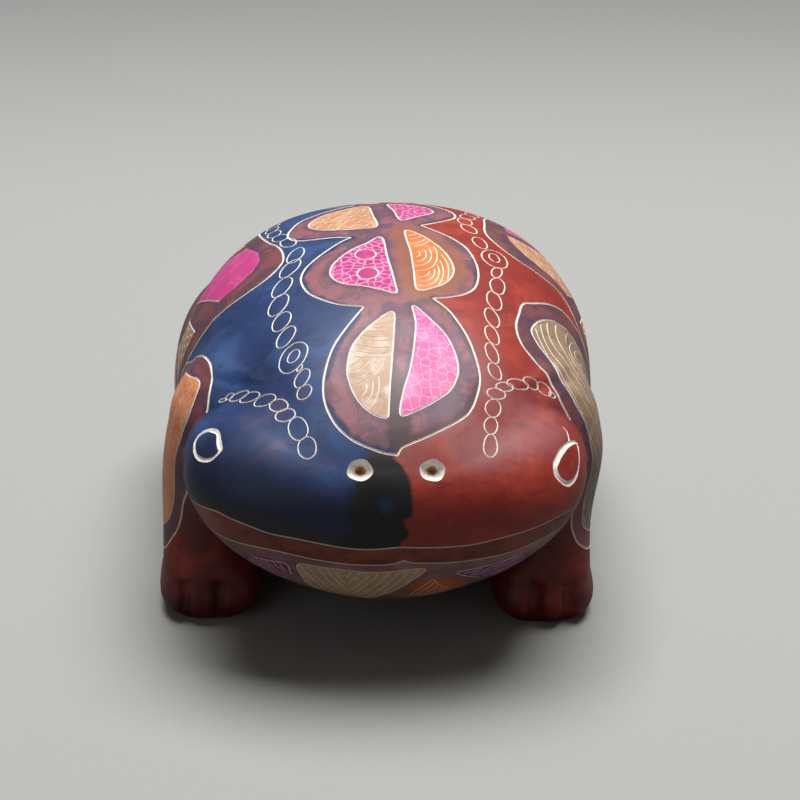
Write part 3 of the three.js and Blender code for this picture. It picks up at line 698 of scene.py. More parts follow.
class Dye(Nodes):  # a material's nodes, with the place on the stone in millimetres
    def __init__(self, name):
        self.material = bpy.data.materials.new(name)
        self.material.use_nodes = True
        super().__init__(self.material.node_tree)
        self.shader = self.tree.nodes["Principled BSDF"]
        place = self.add("ShaderNodeTexCoord").outputs["Object"]
        self.place = self.add("ShaderNodeVectorMath", [(0, place), ("Scale", 1 / metres)], operation="SCALE").outputs[0]

    def noise(self, scale, detail=3, roughness=0.55, distortion=0.0, at=None):
        links = [("Vector", self.place if at is None else at), ("Scale", scale), ("Detail", detail),
                 ("Roughness", roughness), ("Distortion", distortion)]
        return self.add("ShaderNodeTexNoise", links).outputs["Fac"]

    def ramp(self, value, low, high, outLow=0.0, outHigh=1.0):
        links = enumerate((value, low, high, outLow, outHigh))
        return self.add("ShaderNodeMapRange", links, interpolation_type="SMOOTHSTEP").outputs[0]

    def blend(self, share, one, two):
        one, two = (rgb(*dye) if isinstance(dye, tuple) and len(dye) == 3 else dye for dye in (one, two))
        links = [("Factor", share), ("A", one), ("B", two)]
        return self.add("ShaderNodeMix", links, data_type="RGBA").outputs["Result"]

    def split(self, vector):
        return self.add("ShaderNodeSeparateXYZ", [(0, vector)]).outputs

    def lay(self):  # place in the drawing; under a halo, the distances to its outlines
        return self.add("ShaderNodeAttribute", attribute_name="lay").outputs["Vector"]

    def stretched(self, by):
        return self.add("ShaderNodeVectorMath", [(0, self.place), (1, by)], operation="MULTIPLY").outputs[0]

    def curve(self, value, points):  # a drawn curve through pairs of place and value
        (low, high), (least, most) = ((min(column), max(column)) for column in zip(*points))
        node = self.add("ShaderNodeFloatCurve")
        drawn = node.mapping.curves[0].points
        scaled = [((x - low) / (high - low), (y - least) / (most - least)) for x, y in points]
        drawn[0].location, drawn[1].location = scaled[0], scaled[-1]
        for x, y in scaled[1:-1]:
            drawn.new(x, y)
        node.mapping.update()
        self.put(node.inputs["Value"], self.calc("DIVIDE", self.minus(value, low), high - low))
        return self.shifted(least, node.outputs[0], most - least)

    def clouded(self, base, pale, dark, scale):
        cloud = self.noise(scale, 4, 0.6, 0.8)
        streak = self.noise(scale * 2.6, 5, 0.65, 1.2, self.stretched((0.55, 1, 1.7)))  # strokes of the dyer's brush
        colour = self.blend(self.ramp(cloud, 0.4, 0.72), base, pale)
        return self.blend(self.ramp(streak, 0.48, 0.76, 0, 0.6), colour, dark)

    def finish(self, inputs):
        for name, value in inputs.items():
            self.put(self.shader.inputs[name], value)
        return self.material

    def bump(self, strength, depth, height):
        links = [("Strength", strength), ("Distance", depth), ("Height", height)]
        return self.add("ShaderNodeBump", links).outputs[0]

    def waxed(self, colour):
        fleck = self.noise(*grains["fleck"])
        dust = self.blend(self.ramp(fleck, 0.62, 0.8, 0, wax["dustShare"]), colour, wax["dust"])
        rough = self.ramp(self.noise(*grains["sheen"]), 0.3, 0.7, *wax["roughness"])
        height = self.shifted(self.times(fleck, 0.4), self.noise(*grains["pits"]), 0.6)
        return self.finish({"Base Color": dust, "Roughness": rough, "Specular IOR Level": wax["specular"],
                            "Coat Weight": wax["coat"], "Coat Roughness": wax["coatRoughness"],
                            "Normal": self.bump(wax["bump"], wax["depth"], height)})


# some of these grains break up the painted highlights on the head
grains = {  # noise in the dyes: scale for each millimetre, detail, roughness and distortion
    "fleck": (1.9, 4, 0.7), "sheen": (0.16, 4, 0.6), "pits": (0.9, 3, 0.6), "shiver": (0.4, 4, 0.7, 0.5),
    "navyHighlight": (0.09, 3, 0.6, 0.6), "redHighlight": (0.13, 3, 0.6, 0.4), "leg": (0.11, 4, 0.65), "belly": (0.5, 3, 0.6),
    "cloud": (0.35, 3, 0.6), "plum": (0.17, 3, 0.6, 0.7), "plumStreak": (0.2, 4, 0.65, 1), "plumEdge": (0.7, 4, 0.7),
    "fringe": (0.11, 2, 0.5), "worn": (0.5, 3, 0.6), "low": (0.3, 3, 0.6), "stone": (0.8, 4, 0.7), "rust": (1.2, 3),
    "stonePits": (2.2, 4, 0.7), "paper": (0.5, 4, 0.7)}
wax = {"roughness": (0.4, 0.54), "specular": 0.42, "coat": 0.06, "coatRoughness": 0.13, "bump": 0.05, "depth": 0.0006,
       "dust": (226, 206, 190), "dustShare": 0.08}
# three of these colours are painted highlight, the key light's sheen on the head: the violet on the navy, the pale
# mauve on the red and the grey on the black patch
groundDyesAndHighlights = {"navy": ((36, 58, 104), (52, 84, 134), (13, 22, 48)), "red": ((148, 45, 36), (178, 66, 48), (88, 26, 24)),
              "leg": ((92, 28, 24), (146, 42, 30), (36, 12, 12)), "violet": (86, 66, 104), "redHighlightDye": (166, 122, 124),
              "black": (14, 13, 13), "belly": (44, 22, 24), "umber": (40, 36, 38), "blackHighlight": (66, 54, 58)}
# besides the dye marks, these ranges place the painted highlights on the head's top and the painted shade low on the
# navy snout
groundRanges = {"navyHighlight": (0.5, 0.68, 0, 0.75), "redHighlight": (0.3, 0.65, 0.1, 0.42), "shiver": 2.6,
                "navyHighlightY": (-28, -42), "navyHighlightZ": (42, 45), "redHighlightY": (-28, -40), "redHighlightZ": (42, 46),
                "low": (-1.4, 1.8, 0, 0.85), "lowY": (-34, -38), "snoutShade": (-12.5, -4.5, 0, 0.88), "snoutShadeY": (-36, -44),
                "blackHighlightZ": (43.5, 48), "legEdge": (0.4, 0.6), "bellyZ": (17, 12), "bellyLeg": (0.5, 0.2)}
nosePatch = {  # seen from ahead: height and X of its two edges, and a low dark band along the lip on the navy side
    "leftEdge": [(31, 2.4), (31.8, 2.6), (33.5, 4), (36.2, 3.2), (37.6, 4.6), (41.5, 4.4), (44.1, 3.5), (45.3, 2.6),
                 (47.2, 0.9), (50, 0.6)],
    "rightEdge": [(31, -10), (33.5, -8.5), (35.4, -6.4), (37.3, -7), (40.2, -7), (42.6, -6.4), (45.6, -5), (46.7, -3.8),
                  (50, -2)],
    "lowBand": [(-40, 36.4), (-33.7, 37), (-29.3, 37.2), (-23, 36.6), (-17.4, 35.4), (-11.7, 33.9), (-6, 32.6)],
    "leftSoft": (-0.4, 0.5), "rightSoft": (-1.3, 1.9), "spot": (-0.2, 39), "spotSize": 2.2, "front": -45,
    "parting": 0.9}


def groundMaterial():
    n = Dye("groundDye")
    dyes, ranges = groundDyesAndHighlights, groundRanges
    x, y, z = n.split(n.place)
    shiver = n.times(n.minus(n.noise(*grains["shiver"]), 0.5), ranges["shiver"])
    # painted highlight: a violet sheen on the top front of the navy side, where the key light glints
    navyHighlight = n.ramp(n.noise(*grains["navyHighlight"]), *ranges["navyHighlight"])
    navyHighlight = n.times(navyHighlight, n.ramp(y, *ranges["navyHighlightY"]), n.ramp(z, *ranges["navyHighlightZ"]))
    navy = n.blend(navyHighlight, n.clouded(*dyes["navy"], 0.075), dyes["violet"])
    lowEdge = n.minus(n.curve(x, nosePatch["lowBand"]), n.minus(z, shiver))
    # painted shade: the second ramp darkens the navy downwards over the front of the snout, towards the low dark band
    low, snoutShade = (n.times(n.ramp(lowEdge, *ranges[name]), n.ramp(y, *ranges[name + "Y"])) for name in ("low", "snoutShade"))
    navy = n.blend(low, n.blend(snoutShade, navy, dyes["navy"][2]), dyes["umber"])
    # painted highlight: a pale mauve sheen on the top front of the red side, where the key light glints
    redHighlight = n.ramp(n.noise(*grains["redHighlight"]), *ranges["redHighlight"])
    redHighlight = n.times(redHighlight, n.ramp(y, *ranges["redHighlightY"]), n.ramp(z, *ranges["redHighlightZ"]))
    red = n.blend(redHighlight, n.clouded(*dyes["red"], 0.075), dyes["redHighlightDye"])
    parted = n.plus(x, shiver)
    colour = n.blend(n.ramp(parted, nosePatch["parting"] - 0.4, nosePatch["parting"] + 0.4), navy, red)
    inLeft = n.ramp(n.minus(n.curve(z, nosePatch["leftEdge"]), n.shifted(x, shiver, 0.5)), *nosePatch["leftSoft"])
    inRight = n.ramp(n.minus(parted, n.curve(z, nosePatch["rightEdge"])), *nosePatch["rightSoft"])
    black = n.times(inLeft, inRight, n.ramp(y, nosePatch["front"], nosePatch["front"] - 2))
    spotX, spotZ = (n.calc("POWER", n.minus(value, middle), 2) for value, middle in zip((parted, z), nosePatch["spot"]))
    spot = n.ramp(n.calc("SQRT", n.plus(spotX, spotZ)), nosePatch["spotSize"], 0, 0, 0.6)
    # painted highlight: the black patch turns smoky grey towards its top, where the key light glints
    inkAndSheen = n.blend(n.ramp(z, *ranges["blackHighlightZ"]), n.blend(spot, dyes["black"], dyes["navy"][0]), dyes["blackHighlight"])
    colour = n.blend(black, colour, inkAndSheen)
    legShare = n.split(n.lay())[2]
    ragged = n.shifted(legShare, n.minus(n.noise(*grains["leg"]), 0.5), 0.9)
    colour = n.blend(n.ramp(ragged, *ranges["legEdge"]), colour, n.clouded(*dyes["leg"], 0.1))
    lowest = n.shifted(z, n.minus(n.noise(*grains["belly"]), 0.5), 5)
    under = n.times(n.ramp(lowest, *ranges["bellyZ"]), n.ramp(legShare, *ranges["bellyLeg"]))
    return n.waxed(n.blend(under, colour, dyes["belly"]))


def plainDye(name, dyes, cloud=None):
    n = Dye(name)
    colour = n.clouded(*dyes, 0.12)
    if cloud:  # a soft patch of another dye, seen from ahead
        x, y, z = n.split(n.place)
        across, up = (n.calc("POWER", n.calc("DIVIDE", n.minus(value, middle), reach), 2)
                      for value, middle, reach in zip((x, z), cloud["middle"], cloud["reach"]))
        away = n.shifted(n.plus(across, up), n.noise(*grains["cloud"]), 0.9)
        colour = n.blend(n.times(n.ramp(away, 1.6, 0.5), n.ramp(y, *cloud["front"])), colour, cloud["dye"])
    return n.waxed(colour)


plumDyes = {"band": {"rose": (152, 96, 104), "violet": (112, 80, 98), "brown": (106, 80, 78)},
            "patch": {"rose": (132, 76, 78), "violet": (96, 64, 76), "brown": (98, 66, 64)},
            "halo": (92, 62, 84), "haloWidth": 1.7, "warm": (158, 100, 68), "warmWidth": 4.2, "stripe": (70, 54, 56),
            "stripeEdges": (-0.4, 5.2), "stripeSoft": (0.9, 1.4), "stripeFrom": (-37, -41), "fringe": (0, 1.2),
            "fringeLeft": (98, 62, 62), "fringeRight": (36, 52, 90), "fringeParting": (0.5, 2)}


def plumColour(n, dyes, rough, nearLeaf):
    colour = n.blend(n.ramp(n.noise(*grains["plum"]), 0.43, 0.6), dyes["rose"], dyes["violet"])
    streak = n.noise(*grains["plumStreak"], n.stretched((1.4, 0.6, 1)))
    colour = n.blend(n.ramp(streak, 0.5, 0.7, 0, 0.85), colour, dyes["brown"])
    halo = n.ramp(n.shifted(nearLeaf, rough, 2.2), plumDyes["haloWidth"], 0.2, 0, 0.68)
    return n.blend(halo, colour, plumDyes["halo"])


def plumRoughness(n):
    return n.minus(n.noise(*grains["plumEdge"]), 0.5)


def plumMaterial(name, dyes, fringed=False):
    n = Dye(name)
    nearLeaf, nearOrange, inside = n.split(n.lay())
    x, y, _ = n.split(n.place)
    rough = plumRoughness(n)
    colour = plumColour(n, dyes, rough, nearLeaf)
    if fringed:
        across = n.shifted(x, rough, 2.4)
        (left, right), (leftSoft, rightSoft) = plumDyes["stripeEdges"], plumDyes["stripeSoft"]
        stripe = n.times(n.ramp(across, left, left + leftSoft), n.ramp(across, right, right - rightSoft))
        colour = n.blend(n.times(stripe, n.ramp(y, *plumDyes["stripeFrom"], 0, 0.8)), colour, plumDyes["stripe"])
    warm = n.ramp(n.shifted(nearOrange, rough, 5), plumDyes["warmWidth"], 1.2, 0, 0.8)
    colour = n.blend(warm, colour, plumDyes["warm"])
    if fringed:
        fringe = n.blend(n.ramp(x, *plumDyes["fringeParting"]), plumDyes["fringeRight"], plumDyes["fringeLeft"])
        width = n.ramp(n.noise(*grains["fringe"]), 0.36, 0.66, *plumDyes["fringe"])
        over = n.minus(n.shifted(inside, rough, 1.1), width)
        colour = n.blend(n.ramp(over, -0.35, 0.5, 1, 0), colour, fringe)
    return n.waxed(colour)


def pebbleMarks(n, cell, width):  # scratched round like pebbles
    lay = n.lay()
    shake = n.add("ShaderNodeTexNoise", [("Scale", 0.6), ("Vector", lay)]).outputs["Color"]
    links = [(0, shake), (1, (0.9, 0.9, 0)), (2, lay)]
    wander = n.add("ShaderNodeVectorMath", links, operation="MULTIPLY_ADD").outputs[0]
    pebbles = n.add("ShaderNodeTexVoronoi", [("Vector", wander), ("Scale", 1 / cell), ("Randomness", 0.85)],
                    voronoi_dimensions="2D", feature="DISTANCE_TO_EDGE")
    away = n.times(pebbles.outputs["Distance"], cell)
    worn = n.ramp(n.noise(*grains["worn"], at=lay), 0.3, 0.55, 0.25, 1)
    return n.times(n.ramp(away, width, 0.3 * width), worn)


def fillDye(name, dyes, pebbles=None, low=None, petal=False):
    n = Dye(name)
    colour = n.clouded(*dyes, 0.2)
    if pebbles:
        mark = pebbleMarks(n, pebbles["cell"], pebbles["width"])
        colour = n.blend(n.times(mark, pebbles["strength"]), colour, pebbles["line"])
    if low:  # another dye towards the table
        height = n.shifted(n.split(n.place)[2], n.noise(*grains["low"]), 6)
        colour = n.blend(n.ramp(height, 42, 33, 0, 0.85), colour, low)
    if petal:  # fades into the patch at its outline
        inside = n.split(n.lay())[2]
        rough = plumRoughness(n)
        patch = plumColour(n, plumDyes["patch"], rough, n.times(inside, -1))
        colour = n.blend(n.ramp(n.shifted(inside, rough, 0.5), -0.15, 0.15), patch, colour)
    return n.waxed(colour)


bare = {"stone": (246, 240, 232), "shade": (226, 214, 202), "rust": (190, 138, 82), "rustDepth": (2.5, 3.5),
        "lowTint": (222, 192, 162), "lowShare": 0.55, "lowFrom": (40, 33), "roughness": 0.6, "bump": 0.25,
        "depth": 0.0004}


def bareStone(name, rusty=False):
    n = Dye(name)
    colour = n.blend(n.ramp(n.noise(*grains["stone"]), 0.45, 0.75), bare["stone"], bare["shade"])
    lowness = n.ramp(n.split(n.place)[2], *bare["lowFrom"], 0, bare["lowShare"])
    colour = n.blend(lowness, colour, bare["lowTint"])  # the lines take a warmer, darker tint lower down
    if rusty:
        depth = n.shifted(n.split(n.lay())[2], n.minus(n.noise(*grains["rust"]), 0.5), 1.2)
        colour = n.blend(n.ramp(depth, *bare["rustDepth"]), colour, bare["rust"])
    return n.finish({"Base Color": colour, "Roughness": bare["roughness"],
                     "Normal": n.bump(bare["bump"], bare["depth"], n.noise(*grains["stonePits"]))})


fillDyes = {  # base, pale and dark
    "pink": ((226, 84, 156), (244, 136, 190), (186, 52, 124)),
    "magenta": ((188, 48, 118), (214, 80, 146), (150, 34, 92)),
    "shoulder": ((238, 138, 84), (248, 172, 122), (204, 100, 62)),
    "orange": ((232, 120, 58), (246, 160, 100), (196, 88, 46)),
    "tan": ((188, 142, 100), (222, 192, 158), (146, 104, 72)),
    # the front tan leaf's paler tan is a painted highlight, the glare of the key light on it
    "wornTan": ((198, 158, 122), (236, 218, 202), (152, 112, 82)),
    "peach": ((204, 142, 100), (226, 178, 138), (166, 100, 72)),
    "grey": ((160, 130, 102), (194, 164, 132), (112, 88, 70)),
    "brown": ((192, 152, 120), (212, 178, 144), (144, 112, 90)),
    "purple": ((128, 50, 110), (160, 84, 146), (84, 34, 76)),
    "flankPink": ((208, 66, 138), (230, 110, 170), (160, 44, 102)),
    "lip": ((112, 44, 36), (146, 68, 52), (64, 26, 30)), "throat": ((134, 90, 93), (162, 122, 122), (84, 54, 60))}
throatCloud = {"middle": (9.4, 19.2), "reach": (6, 4), "front": (-26, -32), "dye": (206, 106, 40)}
fills = {  # a dye, and what is special about it
    "pinkCells": ("pink", {"pebbles": {"cell": 1.7, "line": (255, 206, 232), "width": 0.11, "strength": 0.6}}),
    "magentaCells": ("magenta", {"pebbles": {"cell": 1.5, "line": (250, 176, 220), "width": 0.2, "strength": 0.85}}),
    "orangeScales": ("shoulder", {"pebbles": {"cell": 1.3, "line": (252, 196, 158), "width": 0.13, "strength": 0.55}}),
    "greyFill": ("grey", {"low": (112, 94, 76)}), "pinkDisc": ("magenta", {}), "wornTan": ("wornTan", {}),
    "tanFill": ("tan", {}), "orangeFill": ("orange", {}), "peachFill": ("peach", {}), "brownFill": ("brown", {}),
    "purpleFill": ("purple", {}), "pinkPetal": ("flankPink", {"petal": True}), "tanPetal": ("tan", {"petal": True}),
    "orangePetal": ("orange", {"petal": True}), "peachPetal": ("peach", {"petal": True})}
finishes = {
    "skin": Dye("skin").material,
    "line": bareStone("bareLine"),
    "drilled": bareStone("drilledStone", rusty=True),
    "inner": bareStone("innerStone"),
    "groundDye": groundMaterial(),
    "plumBand": plumMaterial("plumBand", plumDyes["band"], fringed=True),
    "plumPatch": plumMaterial("plumPatch", plumDyes["patch"]),
    "lipDye": plainDye("lipDye", fillDyes["lip"]),
    "throatDye": plainDye("throatDye", fillDyes["throat"], throatCloud),
    **{name: fillDye(name, fillDyes[dye], **special) for name, (dye, special) in fills.items()},
}
print("finishes made:", len(finishes))


# Meshes

def newObject(name, data):
    piece = bpy.data.objects.new(name, data)
    bpy.context.scene.collection.objects.link(piece)
    return piece


def meshOf(name, points, faces, finish):
    mesh = bpy.data.meshes.new(name)
    mesh.from_pydata((np.asarray(points) * metres).tolist(), [], [tuple(map(int, face)) for face in faces])
    mesh.materials.append(finishes[finish])
    return newObject(name, mesh)


def readAll(items, key, kind=np.int32, width=1):
    flat = np.empty(len(items) * width, kind)
    items.foreach_get(key, flat)
    return flat.reshape(-1, width) if width > 1 else flat


def evaluated(piece):
    mesh = bpy.data.meshes.new_from_object(piece.evaluated_get(bpy.context.evaluated_depsgraph_get()))
    piece.modifiers.clear()
    old, piece.data = piece.data, mesh
    bpy.data.meshes.remove(old)
    return piece


def cut(piece, tool, operation="DIFFERENCE"):
    modifier = piece.modifiers.new("cut", "BOOLEAN")
    modifier.solver = "MANIFOLD"
    modifier.operation = operation
    modifier.material_mode = "TRANSFER"
    modifier.object = tool
    return evaluated(piece)


def skinOf(field, level=0.0):  # a closed skin where the field has this value
    grid = openvdb.FloatGrid(carving["outside"])
    grid.copyFromArray(np.ascontiguousarray(field - level, np.float32))
    points, quads = grid.convertToQuads(0.0)
    points = points * carving["cell"] + np.array(carving["low"])
    a, b, c = (points[quads[:, i]] for i in range(3))
    if np.einsum("ij,ij->i", a, np.cross(b, c)).sum() < 0:
        quads = quads[:, ::-1]
    return points, quads


def carveForm():
    axes = [np.arange(low, high, carving["cell"]) for low, high in zip(carving["low"], carving["high"])]
    x, y, z = np.meshgrid(*axes, indexing="ij")
    points, quads = skinOf(stoneField(x, y, z))
    rear = np.hypot(points[:, 0], points[:, 2] - torso["beltHeight"]) < carving["rearCap"]
    rear &= points[:, 1] > torso["rumpY"] - carving["rearCap"]
    cap = points[rear] * (1, 0, 1)  # the blunt rear end, where the field is too steep to settle on
    points = settle(points)
    points[rear] = firstMet(cap + (0, carving["high"][1], 0), cap)
    points[:, 2] = np.maximum(points[:, 2], 0)
    stone = meshOf("stone", points, quads, "skin")
    tools = {}
    head = headField(x, y, z)
    margin = carving["legMargin"]
    for name, field in legFields(x, y, z).items():
        beside = np.minimum(field - head, field + carving["seamDepth"]) + margin  # ends the leg at the head
        footed = np.maximum(field, -z - carving["toolFoot"])
        tools[name] = meshOf(name + ".tool", *skinOf(np.maximum(footed, beside), margin), "inner")
    return stone, tools


stone, tools = carveForm()
print("stone skin:", len(stone.data.vertices), "points")


# Scratched lines: a tube along each path, sunk half its width

scratch = {"waver": 0.55, "chainWaver": 0.5, "waverScale": 420.0, "shakeScale": 380.0, "tubeSides": 6, "loopPoints": 22}


def newTree(name, **inputs):
    tree = bpy.data.node_groups.new(name, "GeometryNodeTree")
    for label, kind in {"Geometry": "Geometry", **inputs}.items():
        tree.interface.new_socket(label, in_out="INPUT", socket_type="NodeSocket" + kind)
    tree.interface.new_socket("Geometry", in_out="OUTPUT", socket_type="NodeSocketGeometry")
    return Nodes(tree), tree.nodes.new("NodeGroupInput").outputs, tree.nodes.new("NodeGroupOutput").inputs[0]


def readNamed(n, name, kind="FLOAT"):
    return n.add("GeometryNodeInputNamedAttribute", [("Name", name)], data_type=kind).outputs["Attribute"]


def roughAt(n, scale, detail):
    spot = n.add("GeometryNodeInputPosition").outputs[0]
    return n.add("ShaderNodeTexNoise", [("Vector", spot), ("Scale", scale), ("Detail", detail)]).outputs


def finishTube(n, source, target, curve, width):
    swing = n.times(n.minus(roughAt(n, scratch["waverScale"], 2.0)["Fac"], 0.5), source["Waver"])
    wavering = n.times(width, n.plus(swing, 1.0))  # a line width that wanders as a hand-held point does
    profile = n.add("GeometryNodeCurvePrimitiveCircle", [("Resolution", scratch["tubeSides"]), ("Radius", 1.0)])
    tube = n.add("GeometryNodeCurveToMesh", [("Curve", curve), ("Profile Curve", profile.outputs[0]),
                                             ("Scale", wavering), ("Fill Caps", True)])
    real = n.add("GeometryNodeRealizeInstances", [("Geometry", tube.outputs[0])])
    dressed = n.add("GeometryNodeSetMaterial", [("Geometry", real.outputs[0]), ("Material", source["Material"])])
    n.put(target, dressed.outputs[0])
    return n.tree


def scratchTree():
    n, source, target = newTree("scratchedLine", Waver="Float", Material="Material")
    curve = n.add("GeometryNodeMeshToCurve", [("Mesh", source["Geometry"])])
    return finishTube(n, source, target, curve.outputs[0], readNamed(n, "halfWidth"))


def chainTree():
    n, source, target = newTree("loopChain", Stone="Object", LineWidth="Float", Shake="Float", Parity="Int",
                                Waver="Float", Material="Material")
    stone = [("Object", source["Stone"])]
    skin = n.add("GeometryNodeObjectInfo", stone, transform_space="RELATIVE").outputs["Geometry"]
    along, across = readNamed(n, "along", "FLOAT_VECTOR"), readNamed(n, "across")
    facing = n.add("GeometryNodeInputNormal").outputs[0]
    up = n.add("GeometryNodeSampleNearestSurface", [("Mesh", skin), ("Value", facing)], data_type="FLOAT_VECTOR")
    lie = n.add("FunctionNodeAxesToRotation", [("Primary Axis", up.outputs["Value"]), ("Secondary Axis", along)],
                primary_axis="Z", secondary_axis="X")
    index = n.add("GeometryNodeInputIndex").outputs[0]
    share = n.calc("MODULO", n.plus(index, source["Parity"]), 2.0)
    length = n.add("ShaderNodeVectorMath", [(0, along)], operation="LENGTH").outputs["Value"]
    size = n.add("ShaderNodeCombineXYZ", [(0, length), (1, across), (2, 1.0)])
    loop = n.add("GeometryNodeCurvePrimitiveCircle", [("Resolution", scratch["loopPoints"]), ("Radius", 1.0)])
    placed = n.add("GeometryNodeInstanceOnPoints", [
        ("Points", source["Geometry"]), ("Selection", n.calc("LESS_THAN", share, 0.5)), ("Instance", loop.outputs[0]),
        ("Rotation", lie.outputs[0]), ("Scale", size.outputs[0])])
    real = n.add("GeometryNodeRealizeInstances", [("Geometry", placed.outputs[0])])
    rough = roughAt(n, scratch["shakeScale"], 1.0)["Color"]
    swing = n.add("ShaderNodeVectorMath", [(0, rough), (1, (0.5, 0.5, 0.5))], operation="SUBTRACT").outputs[0]
    offset = n.add("ShaderNodeVectorMath", [(0, swing), ("Scale", source["Shake"])], operation="SCALE").outputs[0]
    shaken = n.add("GeometryNodeSetPosition", [("Geometry", real.outputs[0]), ("Offset", offset)])
    touch = n.add("GeometryNodeProximity", [(0, skin)]).outputs["Position"]
    laid = n.add("GeometryNodeSetPosition", [("Geometry", shaken.outputs[0]), ("Position", touch)])
    return finishTube(n, source, target, laid.outputs[0], n.times(source["LineWidth"], 0.5))


def chainLoops():  # rows of middle, half the long axis and half the width
    made = {}
    for name, rows in chains["loops"].items():
        rows = np.array(rows, float)
        ends = [onStone("back", rows[:, :2] + sign * rows[:, 2:4]) for sign in (1, -1)]
        made[name] = (onStone("back", rows[:, :2]), (ends[0] - ends[1]) / 2, rows[:, 4])
    long, wide = chains["rearLoop"]
    for name, path in chains["rear"].items():
        line = onStone("back", smoothLine(path))
        far = np.r_[0, np.cumsum(np.linalg.norm(np.diff(line, axis=0), axis=1))]
        at = np.arange(0, far[-1], chains["rearPitch"])
        spots, ahead = (np.array([np.interp(at + step, far, axis) for axis in line.T]).T for step in (0, 0.5))
        made[name] = (spots, unit(ahead - spots) * long, np.full(len(at), wide))
    return made


def grown(name, mesh, tree, **values):  # what a node tree grows from a mesh
    tool = newObject(name, mesh)
    modifier = tool.modifiers.new(tree.name, "NODES")
    modifier.node_group = tree
    sockets = {item.name: item.identifier for item in tree.interface.items_tree if item.in_out == "INPUT"}
    for label, value in values.items():
        modifier[sockets[label]] = value
    return evaluated(tool)


def pathMesh(name, paths):
    points, edges, widths = [], [], []
    for line, half, closed in paths:
        first = len(points)
        points += (np.asarray(line) * metres).tolist()
        widths += (np.asarray(half) * metres).tolist()
        edges += [(first + i, first + i + 1) for i in range(len(line) - 1)]
        if closed:
            edges.append((first + len(line) - 1, first))
    mesh = bpy.data.meshes.new(name)
    mesh.from_pydata(points, edges, [])
    mesh.attributes.new("halfWidth", "FLOAT", "POINT").data.foreach_set("value", widths)
    return mesh


def makeLineTools():
    tree, white = scratchTree(), finishes["line"]
    made = [grown("lines." + name, pathMesh("lines." + name, group), tree, Waver=scratch["waver"], Material=white)
            for name, group in lines.items()]
    tree = chainTree()
    for name, (middles, along, across) in chainLoops().items():
        for parity in (0, 1)[:len(middles)]:
            mesh = bpy.data.meshes.new(f"chain.{name}.{parity}")
            mesh.from_pydata((middles * metres).tolist(), [], [])
            mesh.attributes.new("along", "FLOAT_VECTOR", "POINT").data.foreach_set("vector", (along * metres).ravel())
            mesh.attributes.new("across", "FLOAT", "POINT").data.foreach_set("value", across * metres)
            made.append(grown(mesh.name, mesh, tree, Stone=stone, LineWidth=chains["lineWidth"] * metres,
                              Shake=chains["shake"] * metres, Parity=parity, Waver=scratch["chainWaver"],
                              Material=white))
    return made


def nostrilTool(middle):  # a drill's cone, from its tip outwards
    place = onStone("face", [middle])[0]
    normal = unit(unit(stoneSlope(place[None])) + np.array(nostrils["drill"]))[0]
    turn = Vector((0, 0, 1)).rotation_difference(Vector(normal)).to_matrix()
    count, levels = nostrils["points"], nostrils["levels"]
    length = nostrils["depth"] + nostrils["overlap"]
    radius = nostrils["width"] / 2 * length / nostrils["depth"]
    wobble = rng.uniform(0, 2 * math.pi, 2)
    points = [(0, 0, -nostrils["depth"])]
    for level in levels:
        for i in range(count):
            angle = 2 * math.pi * i / count
            rough = 1 + nostrils["roughness"] * (math.sin(3 * angle + wobble[0]) + math.sin(5 * angle + wobble[1]))
            reach = radius * level ** nostrils["flare"] * rough
            points.append((reach * math.cos(angle), nostrils["flatness"] * reach * math.sin(angle),
                           -nostrils["depth"] + level * length))
    points.append((0, 0, nostrils["overlap"]))
    top, last = len(points) - 1, 1 + (len(levels) - 1) * count
    faces = [(0, 1 + (i + 1) % count, 1 + i) for i in range(count)]
    for base in range(1, last, count):
        for i in range(count):
            j = (i + 1) % count
            faces += [(base + i, base + j, base + count + j), (base + i, base + count + j, base + count + i)]
    faces += [(last + i, last + (i + 1) % count, top) for i in range(count)]
    return meshOf("nostril", [np.array(turn @ Vector(point)) + place for point in points], faces, "drilled")


lineTools = makeLineTools()
print("line tools:", sum(len(tool.data.polygons) for tool in lineTools), "faces")
for tool in lineTools + [nostrilTool(middle) for middle in nostrils["middles"]]:
    cut(stone, tool)
    bpy.data.objects.remove(tool)
print("stone scratched:", len(stone.data.polygons), "faces")


# The stone is divided where the solids are

blocks = {"neckReach": (-80, 120, 160), "mouthHalf": 75, "mouthSteps": 61, "mouthTop": 130, "mouthReach": 140}


def neckTool():
    lean = math.radians(neck["lean"])
    front, wide, tall = blocks["neckReach"]
    corners = []
    for y in (front, 0):
        for x, z in ((-wide, -tall), (wide, -tall), (wide, tall), (-wide, tall)):
            along, up = y * math.cos(lean) + z * math.sin(lean), z * math.cos(lean) - y * math.sin(lean)
            corners.append((x, neck["place"] + along, up))
    faces = [(0, 1, 2, 3), (7, 6, 5, 4), (0, 4, 5, 1), (1, 5, 6, 2), (2, 6, 7, 3), (3, 7, 4, 0)]
    return meshOf("neck.tool", corners, faces, "inner")


def mouthTool():
    half, top, reach = blocks["mouthHalf"], blocks["mouthTop"], blocks["mouthReach"]
    xs = np.linspace(-half, half, blocks["mouthSteps"])
    line = mouth["height"] + mouth["smile"] * (xs / (muzzle["width"] / 2)) ** 2
    outline = list(zip(xs, line)) + [(half, top), (-half, top)]
    count = len(outline)
    corners = [(x, y, z) for y in (-reach, reach) for x, z in outline]
    faces = [tuple(range(count)), tuple(reversed(range(count, 2 * count)))]
    faces += [(i, i + count, (i + 1) % count + count, (i + 1) % count) for i in range(count)]
    return meshOf("mouth.tool", corners, faces, "inner")


